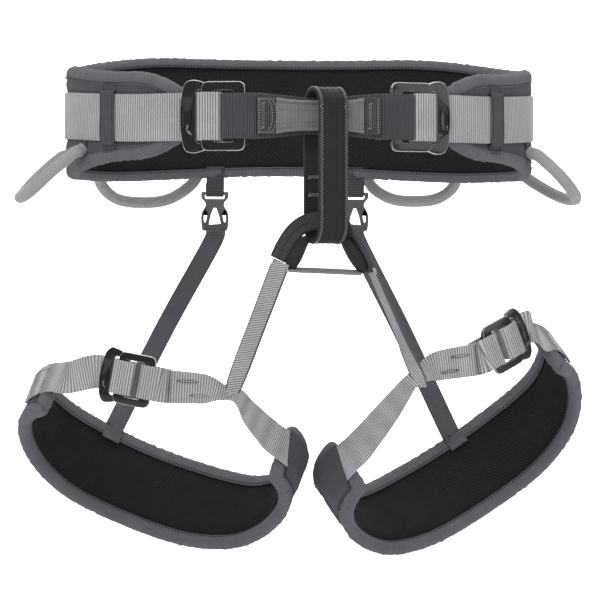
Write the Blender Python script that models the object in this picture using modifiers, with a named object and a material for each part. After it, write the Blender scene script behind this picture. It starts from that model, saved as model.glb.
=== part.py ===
# Climbing harness: padded waist belt, belay loop, leg bridge and two padded leg loops.
# Metres, +Z up. The origin is the middle of the waist ring at the belt's mid height,
# the front of the harness is -Y and the wearer's right side is -X.
import math

import bmesh
import bpy
from mathutils import Matrix, Vector

MM = 0.001
GAP = 0.4 * MM                 # between pieces that touch

# waist belt
WAIST_A = 184 * MM             # inside half width
WAIST_B = 116 * MM             # inside half depth
LINING = 1.0 * MM
FOAM = 5.6 * MM
COVER = 1.3 * MM
PAD = LINING + FOAM + COVER + 2 * GAP
BINDING_WIDTH = 5.5 * MM
STEP = 6                       # degrees between the belt's columns
WAIST_END = 147                # degrees from the middle of the back to a pad tip
WEB = 2.0 * MM                 # thickness of the webbing
WAIST_WEB_WIDTH = 38 * MM
WEB_OUT = PAD + GAP + WEB / 2
KEEPER_WIDTH = 15 * MM

# waist buckles: the outer edge's place and the strap's direction there
BUCKLE_X = 109 * MM
BUCKLE_Y = -109.5 * MM
BUCKLE_Z = -8 * MM
BUCKLE_YAW = math.radians(15)
WAIST_BUCKLE = dict(length=53 * MM, height=58 * MM, bow=14 * MM, bar=8 * MM, side=8 * MM,
                    start=20 * MM, plate=3.5 * MM, slide=3.0 * MM)
LEG_BUCKLE = dict(length=46 * MM, height=45 * MM, bow=11 * MM, bar=7 * MM, side=7 * MM,
                  start=17 * MM, plate=3.0 * MM, slide=2.6 * MM)
PLATE_GAP = 1.2 * MM
BUCKLE_TRAVEL = 3.0 * MM

# front strap, belay loop and leg bridge
FRONT_Y = -131 * MM
FRONT_WIDTH = 36 * MM
TIE_IN_WIDTH = 26 * MM
MIDDLE_X = 5 * MM
BELAY_Y = -135 * MM
BELAY_YAW = math.radians(18)
BELAY_TOP = 13 * MM
BELAY_BOTTOM = -107 * MM
BELAY_RADIUS = 14 * MM
BELAY_WIDTH = 25 * MM
BELAY_THICK = 3.5 * MM
BRIDGE_WIDTH = 12 * MM
SLEEVE_RADIUS = 4.5 * MM

# leg loops
LEG_A = 107 * MM
LEG_B = 80 * MM
LEG_WEB_WIDTH = 27 * MM
LEG_STEP = 7
RISER_WIDTH = 16 * MM
ELASTIC_WIDTH = 16 * MM
HOOK_X = 61 * MM
HOOK_Y = 115 * MM
LEGS = {
    "left": dict(side=-1, centre=(-116, -15, -273), lean=23, nose=20, lift=0,
                 crossing=(-66, -112, -228), riser_end=-20, buckle=(25, 8, 5), strap_lift=2,
                 riser_top=(-32, -135, -127.5), riser_front=-10, riser_across=(0.77, -0.64, 0)),
    "right": dict(side=1, centre=(126, -15, -269), lean=33, nose=22, lift=13,
                  crossing=(79, -112, -216), riser_end=-6, buckle=(6, 11.5, 9), strap_lift=6,
                  riser_top=(42.4, -135, -132), riser_front=-14, riser_across=(0.45, -0.89, 0)),
}
LEG_OUTER = -112               # degrees from the middle of the back to the pad's outer end
LEG_INNER = 126

COLOURS = {
    "mesh": (0.012, 0.012, 0.014), "foam": (0.03, 0.03, 0.03), "fabric": (0.105, 0.1, 0.112),
    "light": (0.52, 0.52, 0.53), "dark": (0.05, 0.048, 0.055), "black": (0.012, 0.012, 0.012),
    "metal": (0.015, 0.015, 0.017), "loop": (0.42, 0.42, 0.43), "plastic": (0.09, 0.09, 0.1),
}


def clear_scene():
    for obj in list(bpy.data.objects):
        bpy.data.objects.remove(obj, do_unlink=True)


def material(name):
    found = bpy.data.materials.get(name)
    if found:
        return found
    mat = bpy.data.materials.new(name)
    mat.use_nodes = True
    shader = mat.node_tree.nodes["Principled BSDF"]
    shader.inputs["Base Color"].default_value = (*COLOURS[name], 1)
    shader.inputs["Roughness"].default_value = 0.3 if name == "metal" else 0.8
    shader.inputs["Metallic"].default_value = 0.9 if name == "metal" else 0.0
    return mat


def add(name, data, finish, collection):
    obj = bpy.data.objects.new(name, data)
    obj.data.materials.append(material(finish))
    collection.objects.link(obj)
    return obj


def thicken(obj, thickness):
    mod = obj.modifiers.new("thickness", "SOLIDIFY")
    mod.thickness = thickness
    mod.offset = 0
    mod.use_even_offset = True


# ---------------------------------------------------------------- curves and surfaces

def smooth(points, per_span):
    # Catmull-Rom curve through the points
    pts = [Vector(p) for p in points]
    out = []
    for i in range(len(pts) - 1):
        p0 = pts[max(i - 1, 0)]
        p1, p2 = pts[i], pts[i + 1]
        p3 = pts[min(i + 2, len(pts) - 1)]
        for k in range(per_span):
            t = k / per_span
            out.append(0.5 * (2 * p1 + (p2 - p0) * t + (2 * p0 - 5 * p1 + 4 * p2 - p3) * t * t
                              + (3 * p1 - p0 - 3 * p2 + p3) * t ** 3))
    out.append(pts[-1])
    return out


def blend(a, b, t):
    t = min(max(t, 0), 1)
    t = t * t * (3 - 2 * t)
    return a + (b - a) * t


def sheet(name, columns, rows, place, thickness, finish, collection):
    # a grid whose corners are placed by place(column, row share), given a thickness
    mesh = bpy.data.meshes.new(name)
    bm = bmesh.new()
    bmesh.ops.create_grid(bm, x_segments=len(columns) - 1, y_segments=rows, size=1)
    for vert in bm.verts:
        column = round((vert.co.x + 1) / 2 * (len(columns) - 1))
        vert.co = place(columns[column], (vert.co.y + 1) / 2)
    bmesh.ops.recalc_face_normals(bm, faces=bm.faces)
    bm.to_mesh(mesh)
    bm.free()
    obj = add(name, mesh, finish, collection)
    thicken(obj, thickness)
    return obj


def ribbon(name, points, across, width, thickness, finish, collection):
    # a strap through the points; across is one direction or one for each point
    if isinstance(across, Vector):
        across = [across] * len(points)
    if not isinstance(width, list):
        width = [width] * len(points)

    def place(i, share):
        return points[i] + across[i].normalized() * (share - 0.5) * width[i]

    return sheet(name, list(range(len(points))), 1, place, thickness, finish, collection)


def upright(points, hint=Vector((0, 0, 1))):
    # for each point, the hint made square to the strap's own direction
    out = []
    for i, point in enumerate(points):
        run = points[min(i + 1, len(points) - 1)] - points[max(i - 1, 0)]
        run.normalize()
        out.append((hint - run * hint.dot(run)).normalized())
    return out


def rim(name, loop, place, thickness, finish, collection):
    # edge binding: a strip just outside a closed outline of (across, height) points
    def pushed(distance):
        out = []
        for i, here in enumerate(loop):
            before, after = Vector(loop[i - 1]), Vector(loop[(i + 1) % len(loop)])
            edge_in = (Vector(here) - before).normalized()
            edge_out = (after - Vector(here)).normalized()
            normal_in = Vector((edge_in.y, -edge_in.x))
            normal_out = Vector((edge_out.y, -edge_out.x))
            normal = (normal_in + normal_out).normalized()
            out.append(Vector(here) + normal * distance / max(normal.dot(normal_in), 0.5))
        return out

    bm = bmesh.new()
    rings = []
    for distance in (GAP, GAP + BINDING_WIDTH):
        verts = [bm.verts.new(place(p.x, p.y)) for p in pushed(distance)]
        edges = [bm.edges.new((verts[i - 1], verts[i])) for i in range(len(verts))]
        rings.extend(edges)
    bmesh.ops.bridge_loops(bm, edges=rings)
    bmesh.ops.recalc_face_normals(bm, faces=bm.faces)
    mesh = bpy.data.meshes.new(name)
    bm.to_mesh(mesh)
    bm.free()
    obj = add(name, mesh, finish, collection)
    thicken(obj, thickness)
    return obj


def tube(name, points, radius, finish, collection):
    curve = bpy.data.curves.new(name, "CURVE")
    curve.dimensions = "3D"
    curve.bevel_depth = radius
    curve.bevel_resolution = 2
    curve.use_fill_caps = True
    spline = curve.splines.new("POLY")
    spline.points.add(len(points) - 1)
    for point, co in zip(spline.points, points):
        point.co = (*co, 1)
    return add(name, curve, finish, collection)


def plate(name, outlines, thickness, matrix, finish, collection):
    # a flat plate: the first outline is its edge and the others are its holes
    curve = bpy.data.curves.new(name, "CURVE")
    curve.dimensions = "2D"
    curve.fill_mode = "BOTH"
    curve.extrude = thickness / 2
    for outline in outlines:
        spline = curve.splines.new("POLY")
        spline.points.add(len(outline) - 1)
        spline.use_cyclic_u = True
        for point, co in zip(spline.points, outline):
            point.co = (co[0], co[1], 0, 1)
    obj = add(name, curve, finish, collection)
    obj.matrix_world = matrix
    return obj


def rounded(x0, x1, y0, y1, low, high, steps=4):
    # a rounded rectangle; low and high are the corner radii at x0 and at x1
    points = []
    corners = ((x1, y1, high, 0), (x0, y1, low, 90), (x0, y0, low, 180), (x1, y0, high, 270))
    for x, y, radius, turn in corners:
        cx = x - radius if x == x1 else x + radius
        cy = y - radius if y == y1 else y + radius
        for k in range(steps + 1):
            angle = math.radians(turn + 90 * k / steps)
            points.append((cx + radius * math.cos(angle), cy + radius * math.sin(angle)))
    return points


# ---------------------------------------------------------------- the waist belt

def waist(degrees, z, out):
    t = math.radians(degrees)
    normal = Vector((math.sin(t) / WAIST_A, math.cos(t) / WAIST_B, 0)).normalized()
    return Vector((WAIST_A * math.sin(t), WAIST_B * math.cos(t), z)) + normal * out


def waist_span(degrees):
    # the pad's lower and upper edge at an angle from the back
    side = abs(degrees)
    top = blend(50 * MM, 34 * MM, (side - 30) / 60)
    top += blend(0, -9 * MM, (side - 90) / 40)
    bottom = blend(-41 * MM, -48 * MM, side / 60)
    bottom += blend(0, 12 * MM, (side - 85) / 45)
    tip = max(0, (side - (WAIST_END - 18)) / 18)
    shrink = 1 - 0.62 * tip ** 2.4
    middle = (top + bottom) / 2
    return middle + (bottom - middle) * shrink, middle + (top - middle) * shrink


def strap_height(degrees):
    return blend(-1 * MM, -8 * MM, (abs(degrees) - 80) / 60)


def belt_columns():
    half = list(range(3, WAIST_END, STEP)) + [WAIST_END - 3, WAIST_END]
    return sorted([-a for a in half] + half)


def outline(columns, span, arc):
    # the closed outline of a pad, with arc giving the distance along it at an angle
    lower = [(arc(a), span(a)[0]) for a in columns]
    upper = [(arc(a), span(a)[1]) for a in reversed(columns)]
    return lower + upper


def pad(prefix, columns, rows, span, surface, collection):
    layers = (("lining", LINING, LINING / 2, "mesh"),
              ("foam", FOAM, LINING + GAP + FOAM / 2, "foam"),
              ("cover", COVER, PAD - COVER / 2, "fabric"))
    for layer, thickness, out, finish in layers:
        def place(angle, share, out=out):
            low, high = span(angle)
            return surface(angle, low + (high - low) * share, out)

        sheet(prefix + layer, columns, rows, place, thickness, finish, collection)


def make_belt(collection):
    columns = belt_columns()
    pad("waist_", columns, 3, waist_span, waist, collection)

    scale = 2.6 * MM             # metres of belt for each degree, near enough for the edge

    def place(distance, z):
        return waist(distance / scale, z, PAD / 2)

    rim("waist_binding", outline(columns, waist_span, lambda a: a * scale), place, PAD,
        "fabric", collection)

    for name, side, at in (("left_keeper", -1, 122.5), ("right_keeper", 1, 128.5)):
        half = WAIST_WEB_WIDTH / 2
        over = WEB_OUT + WEB / 2 + GAP + 0.7 * MM
        under = PAD + GAP + 0.6 * MM
        profile = ((half + 7 * MM, under), (half + 2.5 * MM, under), (half + 1.5 * MM, over),
                   (-half - 1.5 * MM, over), (-half - 2.5 * MM, under), (-half - 7 * MM, under))
        middle = strap_height(at)
        points = [waist(side * at, middle + z, out) for z, out in profile]
        along = waist(side * at + 1, 0, 0) - waist(side * at - 1, 0, 0)
        ribbon(name, points, along, KEEPER_WIDTH, 1.0 * MM, "dark", collection)


def buckle_frame(side):
    # local x runs along the strap to the middle, y up, z out to the front
    along = Vector((-side * math.cos(BUCKLE_YAW), -math.sin(BUCKLE_YAW), 0))
    up = Vector((0, 0, 1))
    return frame_at(Vector((side * BUCKLE_X, BUCKLE_Y, BUCKLE_Z)), along, up, side)


def frame_at(origin, along, up, side):
    up = up.normalized() * -side
    matrix = Matrix((along, up, along.cross(up).normalized())).transposed().to_4x4()
    matrix.translation = origin
    return matrix


def buckle(prefix, dims, matrix, collection):
    half = dims["height"] / 2
    side = dims["side"]
    frame_edge = rounded(0, dims["length"], -half, half, half * 0.62, 7 * MM)
    hole = rounded(dims["bow"], dims["length"] - dims["bar"], side - half, half - side,
                   2 * MM, 2 * MM, 2)
    plate(prefix + "_frame", (frame_edge, hole), dims["plate"], matrix, "metal", collection)
    trim = 2.5 * MM
    slide_edge = rounded(dims["start"], dims["length"], trim - half, half - trim, 6 * MM, 6 * MM)
    slide_hole = rounded(dims["start"] + dims["bar"], dims["length"] - dims["bar"],
                         side + trim / 2 - half, half - side - trim / 2, 2 * MM, 2 * MM, 2)
    lift = dims["plate"] / 2 + PLATE_GAP + dims["slide"] / 2
    plate(prefix + "_slide", (slide_edge, slide_hole), dims["slide"],
          matrix @ Matrix.Translation((0, 0, lift)), "metal", collection)


def strap_levels(dims):
    behind = -(dims["plate"] / 2 + GAP + WEB / 2)
    front = dims["plate"] / 2 + PLATE_GAP + dims["slide"] + 0.6 * MM + WEB / 2
    return behind, front


def outer_path(dims):
    # behind the bow, up through the frame, over the slide's bar, down and back
    behind, front = strap_levels(dims)
    bow = dims["bow"]
    turn = dims["start"] + dims["bar"] + BUCKLE_TRAVEL + 2.9 * MM
    return [(-4 * MM, behind), (bow + 0.5 * MM, behind), (bow + 2.3 * MM, behind + 1.5 * MM),
            (bow + 2.3 * MM, front - 2.0 * MM), (bow + 4.2 * MM, front), (turn - 2.0 * MM, front),
            (turn, front - 1.8 * MM), (turn, behind - 0.6 * MM),
            (turn - 2.0 * MM, behind - 2.6 * MM), (bow + 1 * MM, behind - 2.6 * MM)]


def inner_path(dims):
    # sewn end behind the frame, round both inner bars, out in front
    behind, front = strap_levels(dims)
    length, bar = dims["length"], dims["length"] - dims["bar"]
    return [(length + 12 * MM, behind), (bar - 0.5 * MM, behind), (bar - 2.4 * MM, behind + 1.5 * MM),
            (bar - 2.4 * MM, front - 2.0 * MM), (bar - 0.5 * MM, front),
            (length + 5 * MM, front), (length + 13 * MM, front - 3.5 * MM)]


def in_world(matrix, path):
    return [matrix @ Vector((x, 0, out)) for x, out in path]


def make_waist_straps(collection):
    up = Vector((0, 0, 1))
    columns = [a for a in belt_columns() if abs(a) < 138]
    over_pad = [waist(a, strap_height(a), WEB_OUT) for a in columns]
    left = in_world(buckle_frame(-1), outer_path(WAIST_BUCKLE))
    right = in_world(buckle_frame(1), outer_path(WAIST_BUCKLE))
    ribbon("waist_webbing", left[::-1] + over_pad + right, up, WAIST_WEB_WIDTH, WEB, "light",
           collection)

    left = in_world(buckle_frame(-1), inner_path(WAIST_BUCKLE))
    right = in_world(buckle_frame(1), inner_path(WAIST_BUCKLE))
    middle = [Vector((x * MM, FRONT_Y, BUCKLE_Z)) for x in (-34, -12, 12, 34)]
    ends = [FRONT_WIDTH] * len(left)
    widths = ends + [34 * MM, 27 * MM, 27 * MM, 34 * MM] + ends
    ribbon("front_webbing", left + middle + right[::-1], up, widths, 1.8 * MM, "dark", collection)

    front = FRONT_Y - 1.8 * MM - GAP
    lift = 4.5 * MM
    points = [Vector((x * MM, front - rise * lift, BUCKLE_Z))
              for x, rise in ((-36, 0), (-22, 0), (-12, 1), (22, 1), (32, 0), (40, 0))]
    ribbon("tie_in_webbing", points, up, TIE_IN_WIDTH, 1.8 * MM, "dark", collection)


def make_gear_loops(collection):
    radius = 5.2 * MM
    shapes = {
        "left_side": ((-110, -33, 3.2), (-110, -34, 11), (-107, -49, 26), (-101, -64, 36),
                      (-93, -69, 39), (-85, -64, 36), (-79, -49, 26), (-76, -34, 11),
                      (-76, -33, 3.2)),
        "right_side": ((108, -33, 3.2), (108, -34, 11), (106, -49, 26), (100, -64, 36),
                       (91, -69, 38), (82, -65, 32), (73, -51, 21), (68, -36, 10.5),
                       (68, -33, 3.2)),
        "left_rear": ((-55, -35, 3.2), (-55, -37, 10), (-52, -54, 16), (-46, -66, 18),
                      (-38, -69, 18), (-30, -66, 18), (-24, -54, 16), (-21, -37, 10),
                      (-21, -35, 3.2)),
        "right_rear": ((48, -35, 3.2), (48, -37, 10), (46, -54, 16), (41, -64.5, 18),
                       (34.5, -67, 18), (28, -64.5, 18), (23, -54, 16), (21, -37, 10),
                       (21, -35, 3.2)),
    }
    for name, shape in shapes.items():
        points = smooth([waist(a, z * MM, PAD + out * MM) for a, z, out in shape], 3)
        tube(f"{name}_gear_loop", points, radius, "loop", collection)


# ---------------------------------------------------------------- belay loop and bridge

def make_belay_loop(collection):
    mesh = bpy.data.meshes.new("belay_loop")
    bm = bmesh.new()
    normal = Vector((math.sin(BELAY_YAW), -math.cos(BELAY_YAW), 0))
    across = Vector((math.cos(BELAY_YAW), math.sin(BELAY_YAW), 0))
    centre = Vector((MIDDLE_X, BELAY_Y, 0))
    path = []
    for z, start in ((BELAY_TOP - BELAY_RADIUS, 0), (BELAY_BOTTOM + BELAY_RADIUS, 180)):
        for k in range(9):
            angle = math.radians(start + 180 * k / 8)
            path.append(centre + normal * BELAY_RADIUS * math.cos(angle)
                        + Vector((0, 0, z + BELAY_RADIUS * math.sin(angle))))
    rings = []
    for share in (-0.5, 0.5):
        verts = [bm.verts.new(p + across * BELAY_WIDTH * share) for p in path]
        rings.extend(bm.edges.new((verts[i - 1], verts[i])) for i in range(len(verts)))
    bmesh.ops.bridge_loops(bm, edges=rings)
    bmesh.ops.recalc_face_normals(bm, faces=bm.faces)
    bm.to_mesh(mesh)
    bm.free()
    obj = add("belay_loop", mesh, "black", collection)
    thicken(obj, BELAY_THICK)


def make_bridge(collection):
    # the right arm is turned edge-on to the front
    arch = ((-32, -119), (-28, -111), (-23, -103), (-17, -96.5), (-9, -92), (5, -90.5),
            (15, -92), (21.5, -97), (27, -104.5), (33, -114), (38.5, -125))
    points = [Vector((x * MM, BELAY_Y, z * MM)) for x, z in arch]
    hints = [(0.001, 0, 1)] * 7 + [(0, -0.7, 0.75), (0, -1, 0.35), (0, -1, 0.3), (0, -1, 0.3)]
    across = [upright(points, Vector(hint))[i] for i, hint in enumerate(hints)]
    ribbon("bridge_webbing", points, across, BRIDGE_WIDTH, 3.0 * MM, "dark", collection)
    rolls = {
        "left_bridge_sleeve": ((-14.3, -109.6), (-18.6, -116.5), (-22.2, -124)),
        "right_bridge_sleeve": ((22.8, -110.6), (27.2, -117.4), (31.6, -126), (34.2, -131.5)),
    }
    for name, shape in rolls.items():
        route = [Vector((x * MM, BELAY_Y, z * MM)) for x, z in shape]
        tube(name, smooth(route, 3), SLEEVE_RADIUS, "black", collection)
    points = [Vector((x * MM, BELAY_Y, -131 * MM)) for x in (-20, -4, 12, 27)]
    ribbon("cross_strap", points, Vector((0, 1, 0)), 14 * MM, 2.4 * MM, "plastic", collection)


# ---------------------------------------------------------------- leg loops

def leg_surface(leg):
    side = leg["side"]
    turn = (Matrix.Rotation(math.radians(-side * leg["lean"]), 3, "Y")
            @ Matrix.Rotation(math.radians(-leg["nose"]), 3, "X"))
    centre = Vector(leg["centre"]) * MM

    def place(degrees, height, out):
        # degrees grow from the back towards the inner side of the leg
        t = math.radians(degrees)
        normal = Vector((-side * math.sin(t) / LEG_A, math.cos(t) / LEG_B, 0)).normalized()
        flat = Vector((-side * LEG_A * math.sin(t), LEG_B * math.cos(t), 0))
        rise = blend(0, 20 * MM, (degrees - 50) / 70)
        rise += blend(0, leg["lift"] * MM, (-degrees - 50) / 60)
        return centre + turn @ (flat + normal * out + Vector((0, 0, height + rise)))

    return place


def leg_span(degrees):
    outer = blend(1, 0.5, (-degrees - 20) / 85)
    inner = blend(1, 0.55, (degrees - 20) / 85)
    share = min(outer, inner)
    return -44 * MM * share, blend(22 * MM, 34 * MM, 1.9 - 1.9 * share) * share


def leg_columns():
    return list(range(LEG_OUTER, LEG_INNER + 1, LEG_STEP))


def make_leg_pad(name, place, collection):
    columns = leg_columns()
    pad(f"{name}_leg_", columns, 3, leg_span, place, collection)
    scale = 1.65 * MM

    def on_edge(distance, height):
        return place(distance / scale, height, PAD / 2)

    rim(f"{name}_leg_binding", outline(columns, leg_span, lambda a: a * scale), on_edge, PAD,
        "fabric", collection)


def make_leg_straps(name, leg, place, collection):
    side = leg["side"]
    def lifted(a):
        return place(a, blend(0, leg["strap_lift"] * MM, (-a - 84) / 34), WEB_OUT)

    before, start = lifted(LEG_OUTER - 6), lifted(LEG_OUTER - 14)
    end, last = (place(a, 0, WEB_OUT) for a in (LEG_INNER + 16, LEG_INNER + 6))
    crossing = Vector(leg["crossing"]) * MM
    # the strap rises a little to the buckle, then falls to the crossing
    far, rise, tilt = leg["buckle"]
    along = (crossing - start).normalized()
    lean = (Vector((0, 0, 1)) - along * along.z).normalized()
    out = along.cross(lean) * -side
    origin = start + along * far * MM + lean * rise * MM - out * strap_levels(LEG_BUCKLE)[0]
    turn = Matrix.Rotation(math.radians(-tilt), 3, along.cross(lean))
    along, lean = turn @ along, turn @ lean
    matrix = frame_at(origin, along, lean, side)
    buckle(f"{name}_leg_buckle", LEG_BUCKLE, matrix, collection)

    on_pad = [lifted(a) for a in leg_columns() if a < -84][::-1]
    leads = [before, start if far > 15 else lifted(LEG_OUTER - 11)]
    outer = on_pad + leads + in_world(matrix, outer_path(LEG_BUCKLE))
    axis = (place(-100, 1, 0) - place(-100, 0, 0)).normalized()
    across = [axis] * (len(on_pad) + 1) + [axis + lean] + [lean] * 10
    ribbon(f"{name}_leg_outer_strap", outer, across, LEG_WEB_WIDTH, WEB, "light", collection)

    on_pad = [place(a, 0, WEB_OUT) for a in leg_columns() if a > 98][::-1]
    inner = in_world(matrix, inner_path(LEG_BUCKLE))
    after = [crossing + along * -18 * MM, crossing + along * 6 * MM]
    axis = (place(120, 1, 0) - place(120, 0, 0)).normalized()
    points = inner + after + [end, last] + on_pad
    across = [lean] * len(inner) + upright(points, axis + lean)[len(inner):len(inner) + 2]
    across += [axis + lean] + [axis] * (len(on_pad) + 1)
    widths = [LEG_WEB_WIDTH] * len(inner) + [23 * MM, 15 * MM, 23 * MM]
    widths += [LEG_WEB_WIDTH] * (len(on_pad) + 1)
    ribbon(f"{name}_leg_inner_strap", points, across, widths, WEB, "light", collection)

    # straight from the bridge, past the front of the crossing; turned part way to the side
    top = Vector(leg["riser_top"]) * MM
    low = crossing + Vector((0, leg["riser_front"] * MM, 0))
    points = [top.lerp(low, share) for share in (0, 0.25, 0.5, 0.75, 1, 1.13)]
    across = upright(points, Vector(leg["riser_across"]))
    ribbon(f"{name}_front_riser", points, across, RISER_WIDTH, WEB, "light", collection)


def make_rear_riser(name, leg, place, collection):
    side = leg["side"]
    tab = [Vector((side * HOOK_X, HOOK_Y, z * MM)) for z in (-49.2, -52.5, -56)]
    ribbon(f"{name}_hook_tab", tab, Vector((1, 0, 0)), 16 * MM, 2 * MM, "dark", collection)
    matrix = Matrix.Translation((side * HOOK_X, HOOK_Y, 0)) @ Matrix.Rotation(math.pi / 2, 4, "X")
    edge = rounded(-11.5 * MM, 11.5 * MM, -93 * MM, -60.5 * MM, 4 * MM, 4 * MM, 3)
    hole = rounded(-5 * MM, 5 * MM, -79 * MM, -66 * MM, 3 * MM, 3 * MM, 2)
    plate(f"{name}_rear_hook", (edge, hole), 5 * MM, matrix, "plastic", collection)

    angle = leg["riser_end"]
    low, high = leg_span(angle)
    inside = -1.9 * MM
    ends = [place(angle, high - d * MM, inside) for d in (12, 6, -1, -9)]
    top = Vector((side * HOOK_X, HOOK_Y, -95.5 * MM))
    middle = (top + ends[-1]) / 2
    route = [top, top + Vector((side * 5, 0, -12)) * MM, middle, ends[3]]
    points = smooth(route, 3) + [ends[2], ends[1], ends[0]]
    tangent = place(angle + 2, high, 0) - place(angle - 2, high, 0)
    tangent *= -side
    tangent.normalize()
    hints = [Vector((1, 0, 0)).lerp(tangent, i / (len(points) - 1)) for i in range(len(points))]
    across = [upright(points, hint)[i] for i, hint in enumerate(hints)]
    across[-3:] = [tangent] * 3
    ribbon(f"{name}_rear_riser", points, across, ELASTIC_WIDTH, 1.2 * MM, "dark", collection)


def main():
    clear_scene()
    collection = bpy.data.collections.new("climbing_harness")
    bpy.context.scene.collection.children.link(collection)
    make_belt(collection)
    make_waist_straps(collection)
    for name, side in (("left", -1), ("right", 1)):
        buckle(f"{name}_waist_buckle", WAIST_BUCKLE, buckle_frame(side), collection)
    make_gear_loops(collection)
    make_belay_loop(collection)
    make_bridge(collection)
    for name, leg in LEGS.items():
        place = leg_surface(leg)
        make_leg_pad(name, place, collection)
        make_leg_straps(name, leg, place, collection)
        make_rear_riser(name, leg, place, collection)


main()
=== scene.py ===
import math

import bmesh
import bpy
import numpy as np
from mathutils import Matrix, Vector, noise


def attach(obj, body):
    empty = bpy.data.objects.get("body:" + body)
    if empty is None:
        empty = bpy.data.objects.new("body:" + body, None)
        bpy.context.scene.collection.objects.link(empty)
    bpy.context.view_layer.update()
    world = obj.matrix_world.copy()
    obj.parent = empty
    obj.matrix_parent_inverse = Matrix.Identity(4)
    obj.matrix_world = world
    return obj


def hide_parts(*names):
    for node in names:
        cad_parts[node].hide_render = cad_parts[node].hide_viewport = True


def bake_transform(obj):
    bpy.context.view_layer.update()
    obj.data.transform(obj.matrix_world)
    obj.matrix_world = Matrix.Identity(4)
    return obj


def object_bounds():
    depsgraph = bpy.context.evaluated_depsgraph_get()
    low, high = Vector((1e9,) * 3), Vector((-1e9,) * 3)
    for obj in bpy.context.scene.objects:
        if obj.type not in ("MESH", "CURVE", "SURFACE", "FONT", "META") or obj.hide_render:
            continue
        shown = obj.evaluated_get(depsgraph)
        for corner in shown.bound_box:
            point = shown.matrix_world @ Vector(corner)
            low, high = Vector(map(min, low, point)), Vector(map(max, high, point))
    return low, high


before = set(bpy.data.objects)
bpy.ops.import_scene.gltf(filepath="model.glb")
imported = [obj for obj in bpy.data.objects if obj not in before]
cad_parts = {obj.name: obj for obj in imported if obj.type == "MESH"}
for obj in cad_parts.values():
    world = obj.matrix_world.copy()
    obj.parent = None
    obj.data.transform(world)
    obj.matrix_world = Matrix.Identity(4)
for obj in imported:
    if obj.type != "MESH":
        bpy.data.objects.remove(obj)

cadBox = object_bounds()
mm = 0.001
scene = bpy.context.scene


# routes and surfaces, all in metres

def ease(a, b, t):
    t = min(max(t, 0.0), 1.0)
    t = t * t * (3 - 2 * t)
    return a + (b - a) * t


def unit(a):
    a = np.asarray(a, float)
    return a / np.maximum(np.linalg.norm(a, axis=-1, keepdims=True), 1e-12)


def sampleRoute(points, spacing, extras=(), closed=False):
    # even samples on a smooth curve through the points; extras ride along with them
    pts = [np.array(p, float) for p in points]
    n = len(pts)
    spans = n if closed else n - 1
    fine, where = [], []
    for i in range(spans):
        if closed:
            p0, p1, p2, p3 = pts[i - 1], pts[i], pts[(i + 1) % n], pts[(i + 2) % n]
        else:
            p0, p1, p2, p3 = pts[max(i - 1, 0)], pts[i], pts[i + 1], pts[min(i + 2, n - 1)]
        for t in np.linspace(0, 1, 16, endpoint=False):
            fine.append(0.5 * (2 * p1 + (p2 - p0) * t + (2 * p0 - 5 * p1 + 4 * p2 - p3) * t * t
                               + (3 * p1 - p0 - 3 * p2 + p3) * t ** 3))
            where.append(i + t)
    fine.append(pts[0] if closed else pts[-1])
    where.append(spans)
    fine, where = np.array(fine), np.array(where, float)
    run = np.concatenate([[0], np.cumsum(np.linalg.norm(np.diff(fine, axis=0), axis=1))])
    count = max(int(round(run[-1] / spacing)), 4)
    at = np.linspace(0, run[-1], count + 1)
    if closed:
        at = at[:-1]
    place = np.stack([np.interp(at, run, fine[:, k]) for k in range(3)], 1)
    spot = np.interp(at, run, where)
    riders = []
    for extra in extras:
        extra = np.array(extra, float)
        extra = np.vstack([extra, extra[:1]]) if closed else extra
        keys = np.arange(len(extra))
        riders.append(np.stack([np.interp(spot, keys, extra[:, k]) for k in range(extra.shape[1])], 1))
    return place, at, riders


belt = {"halfWidth": 184, "halfDepth": 116, "pad": 8.7, "end": 147}  # millimetres; the end is in degrees


def beltAt(degrees, z, out):
    t = math.radians(degrees)
    a, b = belt["halfWidth"] * mm, belt["halfDepth"] * mm
    normal = Vector((math.sin(t) / a, math.cos(t) / b, 0)).normalized()
    return Vector((a * math.sin(t), b * math.cos(t), z)) + normal * out


def beltSpan(degrees):
    side = abs(degrees)
    top = ease(50, 34, (side - 30) / 60) + ease(0, -9, (side - 90) / 40)
    low = ease(-41, -48, side / 60) + ease(0, 12, (side - 85) / 45)
    tip = max(0, (side - (belt["end"] - 18)) / 18)
    shrink = 1 - 0.62 * tip ** 2.4
    middle = (top + low) / 2
    return (middle + (low - middle) * shrink) * mm, (middle + (top - middle) * shrink) * mm


def strapHeight(degrees):
    return ease(-1, -8, (abs(degrees) - 80) / 60) * mm


legSize = {"halfWidth": 107, "halfDepth": 80, "outer": -112, "inner": 126}  # ends in degrees
legs = {
    "left": {"side": -1, "centre": (-116, -15, -273), "lean": 23, "nose": 20, "lift": 0,
             "crossing": (-66, -112, -228), "riserEnd": -20, "buckle": (25, 6.5, 5), "strapLift": 5,
             "riserTop": (-32, -135, -127.5), "riserAcross": (0.77, -0.64, 0)},
    "right": {"side": 1, "centre": (126, -15, -269), "lean": 33, "nose": 22, "lift": 13,
              "crossing": (79, -112, -216), "riserEnd": -6, "buckle": (3, 9, 9), "strapLift": 8,
              "riserTop": (42.4, -135, -132), "riserAcross": (0.24, -0.97, 0)},
}


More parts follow.
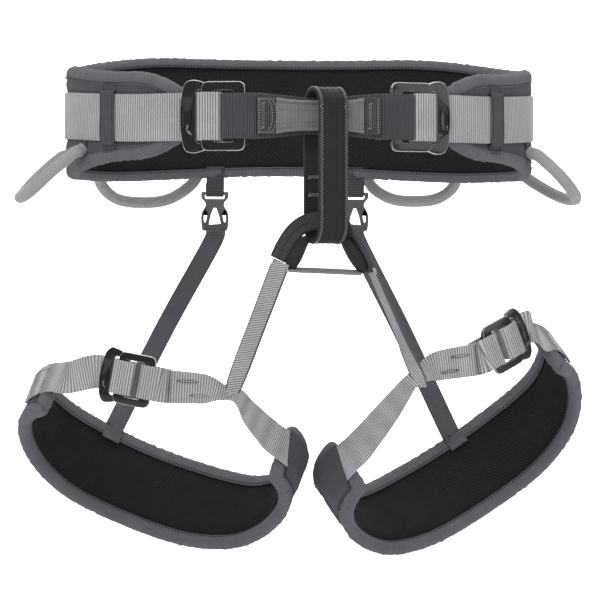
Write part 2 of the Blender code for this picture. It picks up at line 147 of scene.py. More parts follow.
def legSurface(leg):
    side = leg["side"]
    turn = (Matrix.Rotation(math.radians(-side * leg["lean"]), 3, "Y")
            @ Matrix.Rotation(math.radians(-leg["nose"]), 3, "X"))
    centre = Vector(leg["centre"]) * mm
    a, b = legSize["halfWidth"] * mm, legSize["halfDepth"] * mm

    def at(degrees, height, out):
        t = math.radians(degrees)
        normal = Vector((-side * math.sin(t) / a, math.cos(t) / b, 0)).normalized()
        flat = Vector((-side * a * math.sin(t), b * math.cos(t), 0))
        rise = ease(0, 20 * mm, (degrees - 50) / 70)
        rise += ease(0, leg["lift"] * mm, (-degrees - 50) / 60)
        return centre + turn @ (flat + normal * out + Vector((0, 0, height + rise)))

    return at


def legSpan(degrees):
    outer = ease(1, 0.5, (-degrees - 20) / 85)
    inner = ease(1, 0.55, (degrees - 20) / 85)
    share = min(outer, inner)
    return -44 * mm * share, ease(22 * mm, 34 * mm, 1.9 - 1.9 * share) * share


# materials: a small class for sums on sockets, one method for every other node

class Field:
    def __init__(self, look, socket):
        self.look = look
        self.socket = socket

    def sum(self, operation, a, b):
        return self.look.node("ShaderNodeMath", {"operation": operation}, {0: a, 1: b})

    def __add__(self, other):
        return self.sum("ADD", self, other)

    def __radd__(self, other):
        return self.sum("ADD", other, self)

    def __sub__(self, other):
        return self.sum("SUBTRACT", self, other)

    def __rsub__(self, other):
        return self.sum("SUBTRACT", other, self)

    def __mul__(self, other):
        return self.sum("MULTIPLY", self, other)

    def __rmul__(self, other):
        return self.sum("MULTIPLY", other, self)


class Look:
    def __init__(self, name, roughness=0.8, metallic=0.0, sheen=0.0, coat=0.0):
        self.material = bpy.data.materials.new(name)
        self.material.use_nodes = True
        self.tree = self.material.node_tree
        self.shader = self.tree.nodes["Principled BSDF"]
        self.shader.inputs["Roughness"].default_value = roughness
        self.shader.inputs["Metallic"].default_value = metallic
        self.shader.inputs["Sheen Weight"].default_value = sheen
        self.shader.inputs["Coat Weight"].default_value = coat
        self.shader.inputs["Specular IOR Level"].default_value = 0.5 if coat or metallic else 0.22

    def feed(self, socket, value):
        if isinstance(value, Field):
            self.tree.links.new(value.socket, socket)
        else:
            socket.default_value = value

    def node(self, kind, settings=None, values=None, out=0):
        made = self.tree.nodes.new(kind)
        for key, value in (settings or {}).items():
            setattr(made, key, value)
        for key, value in (values or {}).items():
            self.feed(made.inputs[key], value)
        return Field(self, made.outputs[out])

    def sine(self, value):
        return self.node("ShaderNodeMath", {"operation": "SINE"}, {0: value})

    def mixColour(self, factor, a, b):
        return self.node("ShaderNodeMix", {"data_type": "RGBA"}, {0: factor, 6: (*a, 1), 7: (*b, 1)}, 2)

    def along(self):
        # the piece's own UV map holds millimetres: along the strap, then across it
        uv = self.node("ShaderNodeUVMap", {"uv_map": "cloth"})
        split = self.node("ShaderNodeSeparateXYZ", None, {0: uv}).socket.node
        return Field(self, split.outputs[0]), Field(self, split.outputs[1])

    def grain(self, scale, detail=3.0, rough=0.6):
        place = self.node("ShaderNodeTexCoord", None, None, 3)
        return self.node("ShaderNodeTexNoise", None,
                         {"Vector": place, "Scale": scale, "Detail": detail, "Roughness": rough})

    def bump(self, height, distance, strength=1.0):
        made = self.node("ShaderNodeBump", None,
                         {"Strength": strength, "Distance": distance, "Height": height})
        self.tree.links.new(made.socket, self.shader.inputs["Normal"])

    def colour(self, field):
        self.tree.links.new(field.socket, self.shader.inputs["Base Color"])

    def rough(self, field):
        self.tree.links.new(field.socket, self.shader.inputs["Roughness"])


def webbingLook(name, light, dark, pitch, yarn=0.55, roughness=0.75):
    look = Look(name, roughness, 0.0, 0.03)
    u, v = look.along()
    # the ribs set colour as well as relief: darker between the ribs, partly the weave's own tone and partly
    # painted shade in the grooves
    rib = look.sine(u * (math.tau / pitch)) * 0.5 + 0.5
    warp = look.sine(v * (math.tau / yarn) + look.sine(u * (math.tau / (yarn * 2))) * 1.4) * 0.5 + 0.5
    fuzz = look.grain(900.0)
    cloud = look.grain(35.0, 2.0)
    shade = rib * 0.62 + warp * 0.16 + fuzz * 0.4 + cloud * 0.24 - 0.2
    look.colour(look.mixColour(shade, dark, light))
    look.rough(roughness - 0.12 * warp + 0.1 * fuzz)
    look.bump(rib * 0.7 + warp * 0.35 + fuzz * 0.25, 0.00035)
    return look.material


def feltLook(name, light, dark):
    # heathered pad cloth: a fine plain weave of two greys
    look = Look(name, 0.9, 0.0, 0.04)
    u, v = look.along()
    warp = look.sine(u * (math.tau / 0.75)) * look.sine(v * (math.tau / 0.75))
    fleck = look.grain(1500.0, 2.0, 0.8)
    cloud = look.grain(60.0, 3.0)
    shade = warp * 0.13 + fleck * 1.1 + cloud * 0.3 - 0.28
    look.colour(look.mixColour(shade, dark, light))
    look.rough(0.8 + 0.15 * fleck)
    look.bump(warp * 0.4 + fleck * 0.6 + cloud * 0.4, 0.0003)
    return look.material


def meshLook(name):
    # spacer mesh: slanted rows of small holes
    look = Look(name, 0.85)
    u, v = look.along()
    row = look.sine((u + v * 0.45) * (math.tau / 3.4))
    column = look.sine((v - u * 0.25) * (math.tau / 2.8))
    hole = row * column * 0.5 + 0.5
    fleck = look.grain(1200.0, 2.0)
    look.colour(look.mixColour(hole * 0.8 + fleck * 0.2, (0.001, 0.001, 0.0012), (0.015, 0.015, 0.017)))
    look.rough(0.95 - 0.2 * hole)
    look.bump(hole + fleck * 0.3, 0.0005)
    return look.material


def buckleLook(name, low, high, roughness):
    look = Look(name, roughness, 0.6, 0.0, 0.35)
    look.shader.inputs["Coat Roughness"].default_value = 0.06
    cloud = look.grain(60.0, 4.0)
    scuff = look.grain(700.0, 5.0, 0.7)
    look.colour(look.mixColour(cloud, low, high))
    look.rough(roughness - 0.04 + 0.08 * cloud + 0.06 * scuff)
    look.bump(scuff * 0.5 + cloud, 0.00005)
    return look.material


def plasticLook(name):
    look = Look(name, 0.45)
    cloud = look.grain(50.0, 3.0)
    grain = look.grain(1600.0, 2.0)
    look.colour(look.mixColour(cloud, (0.06, 0.06, 0.066), (0.105, 0.104, 0.112)))
    look.rough(0.38 + 0.2 * grain)
    look.bump(grain, 0.00008)
    return look.material


def cordLook(name):
    # gear loops: fine yarns running lengthways
    look = Look(name, 0.6, 0.0, 0.03)
    u, v = look.along()
    yarn = look.sine(v * (math.tau / 1.57)) * 0.5 + 0.5
    weave = look.sine(u * (math.tau / 0.9) + yarn * 3.1) * 0.5 + 0.5
    fuzz = look.grain(800.0)
    shade = yarn * 0.55 + weave * 0.2 + fuzz * 0.3
    look.colour(look.mixColour(shade, (0.12, 0.12, 0.125), (0.4, 0.4, 0.41)))
    look.rough(0.62 - 0.1 * weave + 0.1 * fuzz)
    look.bump(yarn + weave * 0.4, 0.0003)
    return look.material


def threadLook(name, light, dark):
    look = Look(name, 0.6)
    fuzz = look.grain(2500.0, 2.0)
    look.colour(look.mixColour(fuzz, dark, light))
    look.rough(0.5 + 0.25 * fuzz)
    look.bump(fuzz, 0.0001)
    return look.material


looks = {
    "light": webbingLook("paleWebbing", (0.52, 0.52, 0.53), (0.055, 0.055, 0.06), 2.1),
    "dark": webbingLook("slateWebbing", (0.085, 0.082, 0.092), (0.006, 0.006, 0.008), 1.7),
    "black": webbingLook("blackWebbing", (0.022, 0.022, 0.023), (0.004, 0.004, 0.004), 1.5, 0.5, 0.55),
    "loop": webbingLook("loopFace", (0.018, 0.018, 0.019), (0.006, 0.006, 0.006), 1.5, 0.8, 0.55),
    "elastic": webbingLook("elasticBand", (0.125, 0.122, 0.135), (0.024, 0.023, 0.027), 1.3, 0.9),
    "grey": webbingLook("greyTape", (0.26, 0.26, 0.27), (0.05, 0.05, 0.055), 1.3),
    "cloth": feltLook("padCloth", (0.108, 0.105, 0.12), (0.024, 0.023, 0.028)),
    "binding": feltLook("edgeTape", (0.175, 0.171, 0.19), (0.045, 0.044, 0.05)),
    "mesh": meshLook("spacerMesh"),
    "metal": buckleLook("blackAlloy", (0.002, 0.002, 0.0025), (0.01, 0.01, 0.011), 0.16),
    # painted highlight: a light colour for the buckles' rounded edges
    "paintedEdgeHighlight": buckleLook("alloyEdgeHighlight", (0.22, 0.22, 0.23), (0.4, 0.4, 0.41), 0.24),
    "plastic": plasticLook("greyPlastic"),
    "cord": cordLook("cordSleeve"),
    "paleThread": threadLook("paleThread", (0.55, 0.55, 0.55), (0.3, 0.3, 0.31)),
    "greyThread": threadLook("greyThread", (0.34, 0.34, 0.35), (0.13, 0.13, 0.14)),
    "darkThread": threadLook("darkThread", (0.012, 0.012, 0.014), (0.003, 0.003, 0.004)),
}
print("materials done")


# meshes

def finishMesh(name, verts, faces, uvs, materials, faceSlots=None):
    mesh = bpy.data.meshes.new(name)
    mesh.from_pydata([tuple(v) for v in verts], [], [tuple(f) for f in faces])
    layer = mesh.uv_layers.new(name="cloth")
    loops = np.zeros(len(mesh.loops), np.int32)
    mesh.loops.foreach_get("vertex_index", loops)
    layer.data.foreach_set("uv", np.asarray(uvs, np.float32)[loops].ravel())
    for key in materials:
        mesh.materials.append(looks[key])
    if faceSlots is not None:
        mesh.polygons.foreach_set("material_index", np.asarray(faceSlots, np.int32))
    mesh.polygons.foreach_set("use_smooth", [True] * len(mesh.polygons))
    mesh.validate()
    obj = bpy.data.objects.new(name, mesh)
    scene.collection.objects.link(obj)
    return obj


def wrapFaces(rings, around, closed):
    # quads between rings of points, one ring after another
    faces = []
    for i in range(rings if closed else rings - 1):
        j = (i + 1) % rings
        for k in range(around):
            m = (k + 1) % around
            faces.append((i * around + k, j * around + k, j * around + m, i * around + m))
    if not closed:
        faces.append(tuple(reversed(range(around))))
        faces.append(tuple((rings - 1) * around + k for k in range(around)))
    return faces


def turnOut(obj):
    bm = bmesh.new()
    bm.from_mesh(obj.data)
    bmesh.ops.recalc_face_normals(bm, faces=bm.faces)
    bm.to_mesh(obj.data)
    bm.free()


strapEdge = [(-1.0, 0.0), (-0.985, 0.62), (-0.94, 0.95), (-0.62, 1.0), (-0.22, 1.0), (0.22, 1.0),
             (0.62, 1.0), (0.94, 0.95), (0.985, 0.62)]


def strapFrames(points, across, width, spacing, closed=False):
    widths = [(w,) for w in (width if isinstance(width, list) else [width] * len(points))]
    sides = across if isinstance(across, list) else [across] * len(points)
    place, at, (side, wide) = sampleRoute(points, spacing, (sides, widths), closed)
    if closed:
        run = np.roll(place, -1, 0) - np.roll(place, 1, 0)
    else:
        run = np.gradient(place, axis=0)
    run = unit(run)
    side = unit(side - run * (side * run).sum(1, keepdims=True))
    return place, at, unit(np.cross(run, side)), side, wide[:, 0]


def strap(name, points, across, width, thick, look, rib=2.1, ribDepth=0.16, spacing=0.5,
          closed=False, wave=0.0, skew=0.0):
    # woven strap: a rounded flat section swept along a route, with real cross ribs
    place, at, face, side, wide = strapFrames(points, across, width, spacing * mm, closed)
    if closed:
        rib = at[-1] / mm / round(at[-1] / mm / rib)
    ring = strapEdge + [(-w, -h) for w, h in strapEdge]
    verts, uvs = [], []
    for i in range(len(place)):
        sag = wave * mm * noise.noise(Vector(place[i]) * 45)
        for w, h in ring:
            slant = at[i] / mm + skew * w * wide[i] / 2 / mm
            ripple = ribDepth * mm * math.sin(math.tau * slant / rib)
            lift = h * (thick / 2 * mm + (ripple if abs(h) > 0.7 else 0)) + sag * w * w
            edge = 1 + 0.006 * math.sin(math.tau * at[i] / mm / rib) * (abs(w) > 0.9)
            verts.append(place[i] + side[i] * (w * wide[i] / 2 * edge) + face[i] * lift)
            uvs.append((slant, w * wide[i] / 2 / mm))
    obj = finishMesh(name, verts, wrapFaces(len(place), len(ring), closed), uvs, [look])
    turnOut(obj)
    return obj


def sweep(name, points, section, look, spacing=1.0, closed=False, hint=(0, 0, 1), ridges=0,
          ridgeDepth=0.0, sizes=None):
    # a round or oval cord; section is the radius, or (radius across, radius out)
    place, at, face, side, size = strapFrames(points, hint, sizes or 1.0, spacing * mm, closed)
    ra, rb = section if isinstance(section, tuple) else (section, section)
    around = 40 if ridges else 20
    verts, uvs = [], []
    for i in range(len(place)):
        for k in range(around):
            angle = math.tau * k / around
            swell = size[i] * (1 + ridgeDepth * math.cos(ridges * angle))
            verts.append(place[i] + side[i] * ra * mm * swell * math.cos(angle)
                         + face[i] * rb * mm * swell * math.sin(angle))
            uvs.append((at[i] / mm, angle * (ra + rb) / 2))
    obj = finishMesh(name, verts, wrapFaces(len(place), around, closed), uvs, [look])
    turnOut(obj)
    return obj


# seams: two node trees, one for separate stitches and one for continuous thread

def newTree(name, sizes):
    tree = bpy.data.node_groups.new(name, "GeometryNodeTree")
    tree.interface.new_socket("Geometry", in_out="INPUT", socket_type="NodeSocketGeometry")
    for label, value in sizes.items():
        socket = tree.interface.new_socket(label, in_out="INPUT", socket_type="NodeSocketFloat")
        socket.default_value = value
    tree.interface.new_socket("Thread", in_out="INPUT", socket_type="NodeSocketMaterial")
    tree.interface.new_socket("Geometry", in_out="OUTPUT", socket_type="NodeSocketGeometry")
    return tree


def treeNode(tree, kind, settings=None, links=None):
    made = tree.nodes.new(kind)
    for key, value in (settings or {}).items():
        setattr(made, key, value)
    for key, value in (links or {}).items():
        if isinstance(value, bpy.types.NodeSocket):
            tree.links.new(value, made.inputs[key])
        else:
            made.inputs[key].default_value = value
    return made


def stitchTree():
    tree = newTree("stitchRow", {"Pitch": 0.003, "Stitch": 0.0011, "Thread Radius": 0.00035})
    given = treeNode(tree, "NodeGroupInput")
    curve = treeNode(tree, "GeometryNodeMeshToCurve", None, {0: given.outputs["Geometry"]})
    even = treeNode(tree, "GeometryNodeResampleCurve", {"mode": "LENGTH"},
                    {"Curve": curve.outputs[0], "Length": given.outputs["Pitch"]})
    points = treeNode(tree, "GeometryNodeCurveToPoints", {"mode": "EVALUATED"}, {0: even.outputs[0]})
    ball = treeNode(tree, "GeometryNodeMeshIcoSphere", None, {"Radius": 1.0, "Subdivisions": 2})
    size = treeNode(tree, "ShaderNodeCombineXYZ", None,
                    {0: given.outputs["Thread Radius"], 1: given.outputs["Thread Radius"],
                     2: given.outputs["Stitch"]})
    turn = treeNode(tree, "FunctionNodeAlignRotationToVector", {"axis": "Z"},
                    {"Vector": points.outputs["Tangent"]})
    put = treeNode(tree, "GeometryNodeInstanceOnPoints", None,
                   {"Points": points.outputs[0], "Instance": ball.outputs[0],
                    "Rotation": turn.outputs[0], "Scale": size.outputs[0]})
    real = treeNode(tree, "GeometryNodeRealizeInstances", None, {0: put.outputs[0]})
    paint = treeNode(tree, "GeometryNodeSetMaterial", None,
                     {"Geometry": real.outputs[0], "Material": given.outputs["Thread"]})
    treeNode(tree, "NodeGroupOutput", None, {0: paint.outputs[0]})
    return tree


def threadTree():
    tree = newTree("threadRun", {"Thread Radius": 0.0003})
    given = treeNode(tree, "NodeGroupInput")
    curve = treeNode(tree, "GeometryNodeMeshToCurve", None, {0: given.outputs["Geometry"]})
    ring = treeNode(tree, "GeometryNodeCurvePrimitiveCircle", {"mode": "RADIUS"},
                    {"Resolution": 6, "Radius": given.outputs["Thread Radius"]})
    skin = treeNode(tree, "GeometryNodeCurveToMesh", None,
                    {"Curve": curve.outputs[0], "Profile Curve": ring.outputs[0], "Fill Caps": True})
    real = treeNode(tree, "GeometryNodeRealizeInstances", None, {0: skin.outputs[0]})
    paint = treeNode(tree, "GeometryNodeSetMaterial", None,
                     {"Geometry": real.outputs[0], "Material": given.outputs["Thread"]})
    treeNode(tree, "NodeGroupOutput", None, {0: paint.outputs[0]})
    return tree


trees = {"stitch": stitchTree(), "thread": threadTree()}


def sew(name, lines, kind, look, body, slot, **sizes):
    # lines are lists of points; the tree turns them into stitches or into thread
    mesh = bpy.data.meshes.new(name)
    verts, edges = [], []
    for line in lines:
        first = len(verts)
        verts.extend(tuple(p) for p in line)
        edges.extend((first + i, first + i + 1) for i in range(len(line) - 1))
    mesh.from_pydata(verts, edges, [])
    obj = bpy.data.objects.new(name, mesh)
    scene.collection.objects.link(obj)
    mod = obj.modifiers.new("seam", "NODES")
    mod.node_group = trees[kind]
    for item in trees[kind].interface.items_tree:
        if item.in_out == "INPUT" and item.name in sizes:
            mod[item.identifier] = sizes[item.name] * mm
        if item.in_out == "INPUT" and item.name == "Thread":
            mod[item.identifier] = looks[look]
    graph = bpy.context.evaluated_depsgraph_get()
    done = bpy.data.meshes.new_from_object(obj.evaluated_get(graph))
    obj.modifiers.clear()
    obj.data = done
    done.polygons.foreach_set("use_smooth", [True] * len(done.polygons))
    turnOut(obj)
    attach(obj, body)
    return obj


def onStrap(points, across, width, thick, shape, face=1, closed=False):
    # turns (along, across) in millimetres, from the strap's start, into points on its face
    place, at, normal, side, _ = strapFrames(points, across, width, 0.5 * mm, closed)
    out = []
    for along, over in shape:
        s = along * mm if along >= 0 else at[-1] + along * mm
        hit = [np.interp(s, at, column) for column in (*place.T, *normal.T, *side.T)]
        here, up, over3 = np.array(hit[:3]), np.array(hit[3:6]), np.array(hit[6:])
        out.append(here + up * face * (thick / 2 + 0.12) * mm + over3 * over * mm)
    return out


def zigzag(x, low, high, swing, pitch):
    # a bar tack across a strap at a distance along it
    steps = int(abs(high - low) / pitch)
    return [(x + (swing if i % 2 else -swing), low + (high - low) * i / steps) for i in range(steps + 1)]


# pads: foam-filled shells, swollen with cloth pressure

padLook = {"rows": 22, "swell": 1.6, "pressure": 3.0, "frames": 16}  # swell is the most the cloth rises


def padShell(name, at, span, first, last, step, mmPerDegree, pressed):
    # two skins joined at a thin rim; the outer skin is cloth, the inner skin is mesh
    columns = int(round((last - first) / step))
    rows = padLook["rows"]
    thick = belt["pad"] * mm
    verts, uvs, normals, limits = [], [], [], []
    for skin in (0, 1):
        for i in range(columns + 1):
            angle = first + (last - first) * i / columns
            low, high = span(angle)
            for j in range(rows + 1):
                z = low + (high - low) * j / rows
                rim = min(z - low, high - z, (angle - first) * mmPerDegree * mm,
                          (last - angle) * mmPerDegree * mm) / (13 * mm)
                full = math.sqrt(max(0.0, 1 - (1 - min(rim, 1)) ** 2))
                inner = (0.3 - 0.3 * full) * thick
                outer = (0.68 + 0.3 * full) * thick
                here = at(angle, z, outer if skin else inner)
                away = (at(angle, z, thick) - at(angle, z, 0)).normalized()
                verts.append(here)
                normals.append(away if skin else -away)
                limits.append(pressed(angle, z) if skin else 1.2 * mm)
                uvs.append((angle * mmPerDegree, z / mm))
    across = rows + 1
    size = (columns + 1) * across
    faces, slots = [], []
    for i in range(columns):
        for j in range(rows):
            a, b = i * across + j, (i + 1) * across + j
            faces.append((a, b, b + 1, a + 1))
            faces.append((size + a, size + a + 1, size + b + 1, size + b))
            slots.extend((1, 0))
    loop = [i * across for i in range(columns + 1)]
    loop += [columns * across + j for j in range(1, across)]
    loop += [i * across + rows for i in range(columns - 1, -1, -1)]
    loop += [j for j in range(rows - 1, 0, -1)]
    for k, a in enumerate(loop):
        b = loop[(k + 1) % len(loop)]
        faces.append((a, a + size, b + size, b))
        slots.append(0)
    obj = finishMesh(name, verts, faces, uvs, ["cloth", "mesh"], slots)
    turnOut(obj)
    swell(obj, loop + [k + size for k in loop], normals, limits)
    mod = obj.modifiers.new("fine", "SUBSURF")
    mod.levels = mod.render_levels = 1
    return obj


def swell(obj, pinned, normals, limits):
    # cloth pressure with the rim held; only what stands inside the limits is kept
    before = [v.co.copy() for v in obj.data.vertices]
    group = obj.vertex_groups.new(name="rim")
    group.add(pinned, 1.0, "REPLACE")
    mod = obj.modifiers.new("cloth", "CLOTH")
    cloth = mod.settings
    cloth.use_pressure = True
    cloth.uniform_pressure_force = padLook["pressure"]
    cloth.effector_weights.gravity = 0
    cloth.vertex_group_mass = "rim"
    cloth.quality = 5
    cloth.shrink_min = -0.03
    mod.collision_settings.use_collision = False
    mod.point_cache.frame_start = 1
    mod.point_cache.frame_end = padLook["frames"]
    for step in range(1, padLook["frames"] + 1):
        scene.frame_set(step)
    graph = bpy.context.evaluated_depsgraph_get()
    after = [v.co.copy() for v in obj.evaluated_get(graph).data.vertices]
    obj.modifiers.remove(mod)
    scene.frame_set(1)
    cap = padLook["swell"] * mm
    for vert, old, new, normal, limit in zip(obj.data.vertices, before, after, normals, limits):
        move = new - old
        if move.length > cap:
            move = move * (cap / move.length)
        out = move.dot(normal)
        move -= normal * out
        vert.co = old + move * 0.5 + normal * min(out, limit)
    obj.vertex_groups.clear()


def padLoop(span, first, last, step, mmPerDegree, push):
    # the pad's outline, pushed out, as (degrees, height)
    angles = [first + (last - first) * i / step for i in range(step + 1)]
    low = [(a * mmPerDegree * mm, span(a)[0]) for a in angles]
    high = [(a * mmPerDegree * mm, span(a)[1]) for a in reversed(angles)]

    def bar(p, q):
        n = max(int(math.dist(p, q) / (3 * mm)), 1)
        return [(p[0] + (q[0] - p[0]) * k / n, p[1] + (q[1] - p[1]) * k / n) for k in range(1, n)]

    loop = low + bar(low[-1], high[0]) + high + bar(high[-1], low[0])
    pts = np.array(loop)
    run = unit(np.roll(pts, -1, 0) - np.roll(pts, 1, 0))
    for _ in range(3):
        run = unit(run + 0.5 * np.roll(run, 1, 0) + 0.5 * np.roll(run, -1, 0))
    pts = pts + np.stack([run[:, 1], -run[:, 0]], 1) * push * mm
    for _ in range(2):
        pts = pts * 0.5 + 0.25 * np.roll(pts, 1, 0) + 0.25 * np.roll(pts, -1, 0)
    return [(p[0] / (mmPerDegree * mm), p[1]) for p in pts]


def binding(name, at, span, first, last, mmPerDegree, outerCover=6.0, innerCover=3.0, seed=0.0):
    # edge tape folded over the rim: a closed section with soft puckers along it
    step = int((last - first) * mmPerDegree / 1.3)
    thick = belt["pad"]
    section = [(-outerCover, 0.93), (-outerCover + 0.8, 1.05), (-2.5, 1.1), (1.0, 1.07), (3.4, 0.9),
               (4.8, 0.6), (5.0, 0.35), (3.9, 0.08), (1.6, -0.1), (-1.2, -0.13),
               (0.6 - innerCover, -0.1), (-innerCover, 0.02), (-2.0, 0.5), (-outerCover + 0.6, 0.75)]
    rings = []
    for push, lift in section:
        loop = padLoop(span, first, last, step, mmPerDegree, push)
        rings.append([at(a, z, lift * thick * mm) for a, z in loop])
    count = len(rings[0])
    verts, uvs = [], []
    length = 0.0
    for i in range(count):
        length += (rings[3][i] - rings[3][i - 1]).length / mm if i else 0
        middle = sum((ring[i] for ring in rings), Vector()) / len(rings)
        pucker = noise.noise(Vector((length / 4.2, seed, 0)))
        pucker += 0.6 * noise.noise(Vector((length / 1.9, seed, 5)))
        for k, ring in enumerate(rings):
            spread = ring[i] - middle
            verts.append(middle + spread * (1 + 0.15 * pucker * (1 if 1 < k < 10 else 0)))
            uvs.append((length, k * 1.6))
    obj = finishMesh(name, verts, wrapFaces(count, len(section), True), uvs, ["binding"])
    turnOut(obj)
    return obj


def seamLines(at, span, first, last, mmPerDegree, push, lift):
    step = int((last - first) * mmPerDegree / 3)
    loop = padLoop(span, first, last, step, mmPerDegree, push)
    line = [at(a, z, lift * belt["pad"] * mm) for a, z in loop]
    return [line + line[:1]]


def beltPressed(angle, z):
    under = abs(z - strapHeight(angle)) < 21 * mm and abs(angle) < 150
    return 0.1 * mm if under else padLook["swell"] * mm


def makeBelt():
    end, scale = belt["end"], 2.6
    shell = padShell("waistPad", beltAt, beltSpan, -end, end, 1.4, scale, beltPressed)
    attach(shell, "root")
    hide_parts("waist_lining", "waist_foam", "waist_cover")
    tape = binding("waistBinding", beltAt, beltSpan, -end, end, scale, 6.5, 3.2)
    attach(tape, "root")
    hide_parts("waist_binding")
    inside = seamLines(beltAt, beltSpan, -end, end, scale, -1.8, -0.14)
    outside = seamLines(beltAt, beltSpan, -end, end, scale, -4.4, 1.26)
    sew("waistSeams", inside + outside, "stitch", "darkThread", "root", "pad_fabric",
        **{"Pitch": 3.0, "Stitch": 1.15, "Thread Radius": 0.42})
    makeKeeper("left", -122.5)
    makeKeeper("right", 128.5)
    print("belt done")


def makeKeeper(name, angle):
    wide, half, middle = 15, 19, strapHeight(angle)
    profile = ((half + 9, 8.9), (half + 5, 9.3), (half + 2.2, 10.2), (half + 0.6, 12.3), (0, 12.6),
               (-half - 0.6, 12.3), (-half - 2.2, 10.2), (-half - 5, 9.3), (-half - 9, 8.9))
    points = [beltAt(angle, middle + z * mm, out * mm) for z, out in profile]
    across = beltAt(angle + 1, 0, 0) - beltAt(angle - 1, 0, 0)
    band = strap(name + "Keeper", points, across, wide * mm, 1.1, "cloth", 0.9, 0.04)
    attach(band, "root")
    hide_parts(name + "_keeper")
    lines = []
    for over in (-6, 6):
        for face in (-1, 1):
            line = [(x, over) for x in range(3, 56, 4)]
            lines.append(onStrap(points, across, wide * mm, 1.1, line, face))
    sew(name + "KeeperSeams", lines, "stitch", "darkThread", "root", "dark_webbing",
        **{"Pitch": 2.4, "Stitch": 0.85, "Thread Radius": 0.3})


makeBelt()


# buckles

waistBuckle = {"length": 53, "height": 58, "bow": 14, "bar": 8, "side": 8, "start": 20,
               "plate": 3.5, "slide": 3.0, "web": 38}
legBuckle = {"length": 46, "height": 45, "bow": 11, "bar": 7, "side": 7, "start": 17,
             "plate": 3.0, "slide": 2.6, "web": 27}
fit = {"gap": 0.4, "plateGap": 1.2, "web": 2.0, "travel": 3.0}  # clearances of strap and slide


def roundedOutline(x0, x1, y0, y1, low, high, steps=10):
    points = []
    corners = ((x1, y1, high, 0), (x0, y1, low, 90), (x0, y0, low, 180), (x1, y0, high, 270))
    for x, y, radius, turn in corners:
        cx = x - radius if x == x1 else x + radius
        cy = y - radius if y == y1 else y + radius
        for k in range(steps + 1):
            angle = math.radians(turn + 90 * k / steps)
            points.append((cx + radius * math.cos(angle), cy + radius * math.sin(angle)))
    return points


def flatPlate(name, outlines, thick, rounding, matrix, look):
    # outline with holes and rounded edges
    curve = bpy.data.curves.new(name, "CURVE")
    curve.dimensions = "2D"
    curve.fill_mode = "BOTH"
    curve.extrude = (thick / 2 - rounding) * mm
    curve.bevel_depth = rounding * mm
    curve.bevel_resolution = 3
    curve.offset = -rounding * mm
    for outline in outlines:
        spline = curve.splines.new("POLY")
        spline.points.add(len(outline) - 1)
        spline.use_cyclic_u = True
        for point, co in zip(spline.points, outline):
            point.co = (co[0] * mm, co[1] * mm, 0, 1)
    shell = bpy.data.objects.new(name + "Outline", curve)
    scene.collection.objects.link(shell)
    graph = bpy.context.evaluated_depsgraph_get()
    mesh = bpy.data.meshes.new_from_object(shell.evaluated_get(graph))
    bpy.data.objects.remove(shell)
    bm = bmesh.new()
    bm.from_mesh(mesh)
    bmesh.ops.remove_doubles(bm, verts=bm.verts, dist=0.00001)
    bmesh.ops.triangulate(bm, faces=bm.faces)
    bmesh.ops.transform(bm, matrix=matrix, verts=bm.verts)
    bmesh.ops.recalc_face_normals(bm, faces=bm.faces)
    bm.to_mesh(mesh)
    bm.free()
    mesh.name = name
    mesh.materials.clear()
    mesh.materials.append(looks[look])
    if look == "metal":
        # the rounded edges get a lighter colour of their own: a painted highlight where they would catch
        # the light
        mesh.materials.append(looks["paintedEdgeHighlight"])
        out = matrix.to_3x3() @ Vector((0, 0, 1))
        for face in mesh.polygons:
            face.material_index = 1 if 0.3 < face.normal.dot(out) < 0.86 else 0
    mesh.shade_smooth()
    mesh.set_sharp_from_angle(angle=math.radians(32))
    obj = bpy.data.objects.new(name, mesh)
    scene.collection.objects.link(obj)
    return obj


def frameAt(origin, along, up, side):
    up = up.normalized() * -side
    matrix = Matrix((along, up, along.cross(up).normalized())).transposed().to_4x4()
    matrix.translation = origin
    return matrix


def waistFrame(side):
    yaw = math.radians(15)
    along = Vector((-side * math.cos(yaw), -math.sin(yaw), 0))
    return frameAt(Vector((side * 109, -109.5, -8)) * mm, along, Vector((0, 0, 1)), side)


def strapLevels(dims):
    behind = -(dims["plate"] / 2 + fit["gap"] + fit["web"] / 2)
    front = dims["plate"] / 2 + fit["plateGap"] + dims["slide"] + 0.6 + fit["web"] / 2
    return behind, front


def outerPath(dims):
    behind, front = strapLevels(dims)
    bow = dims["bow"]
    turn = dims["start"] + dims["bar"] + fit["travel"] + 2.9
    return [(-4, behind), (bow + 0.3, behind), (bow + 2.1, behind + 1.3), (bow + 2.4, front - 2.4),
            (bow + 4.0, front - 0.3), (bow + 6.5, front), (turn - 2.4, front), (turn - 0.3, front - 1.4),
            (turn, front - 3.2), (turn, behind + 0.2), (turn - 1.0, behind - 1.9),
            (turn - 3.4, behind - 2.6), (bow + 1, behind - 2.6)]


def innerPath(dims):
    behind, front = strapLevels(dims)
    length, bar = dims["length"], dims["length"] - dims["bar"]
    turn = dims["start"] + dims["bar"] + fit["travel"] + 4.6
    if dims["web"] < 30:
        return [(length + 12, behind), (bar + 0.5, behind), (bar - 1.8, behind + 0.9),
                (bar - 2.4, behind + 2.4), (bar - 2.4, front - 2.4), (bar - 1.6, front - 0.5),
                (bar + 0.6, front), (length + 5, front), (length + 13, front - 3.5)]
    return [(length + 12, behind), (turn + 3, behind), (turn + 0.7, behind + 0.9),
            (turn, behind + 2.4), (turn, front - 2.2), (turn + 0.8, front - 0.3),
            (turn + 3, front + 0.2), (length + 5, front), (length + 13, front - 3.5)]


def inWorld(matrix, path):
    return [matrix @ Vector((x * mm, 0, out * mm)) for x, out in path]


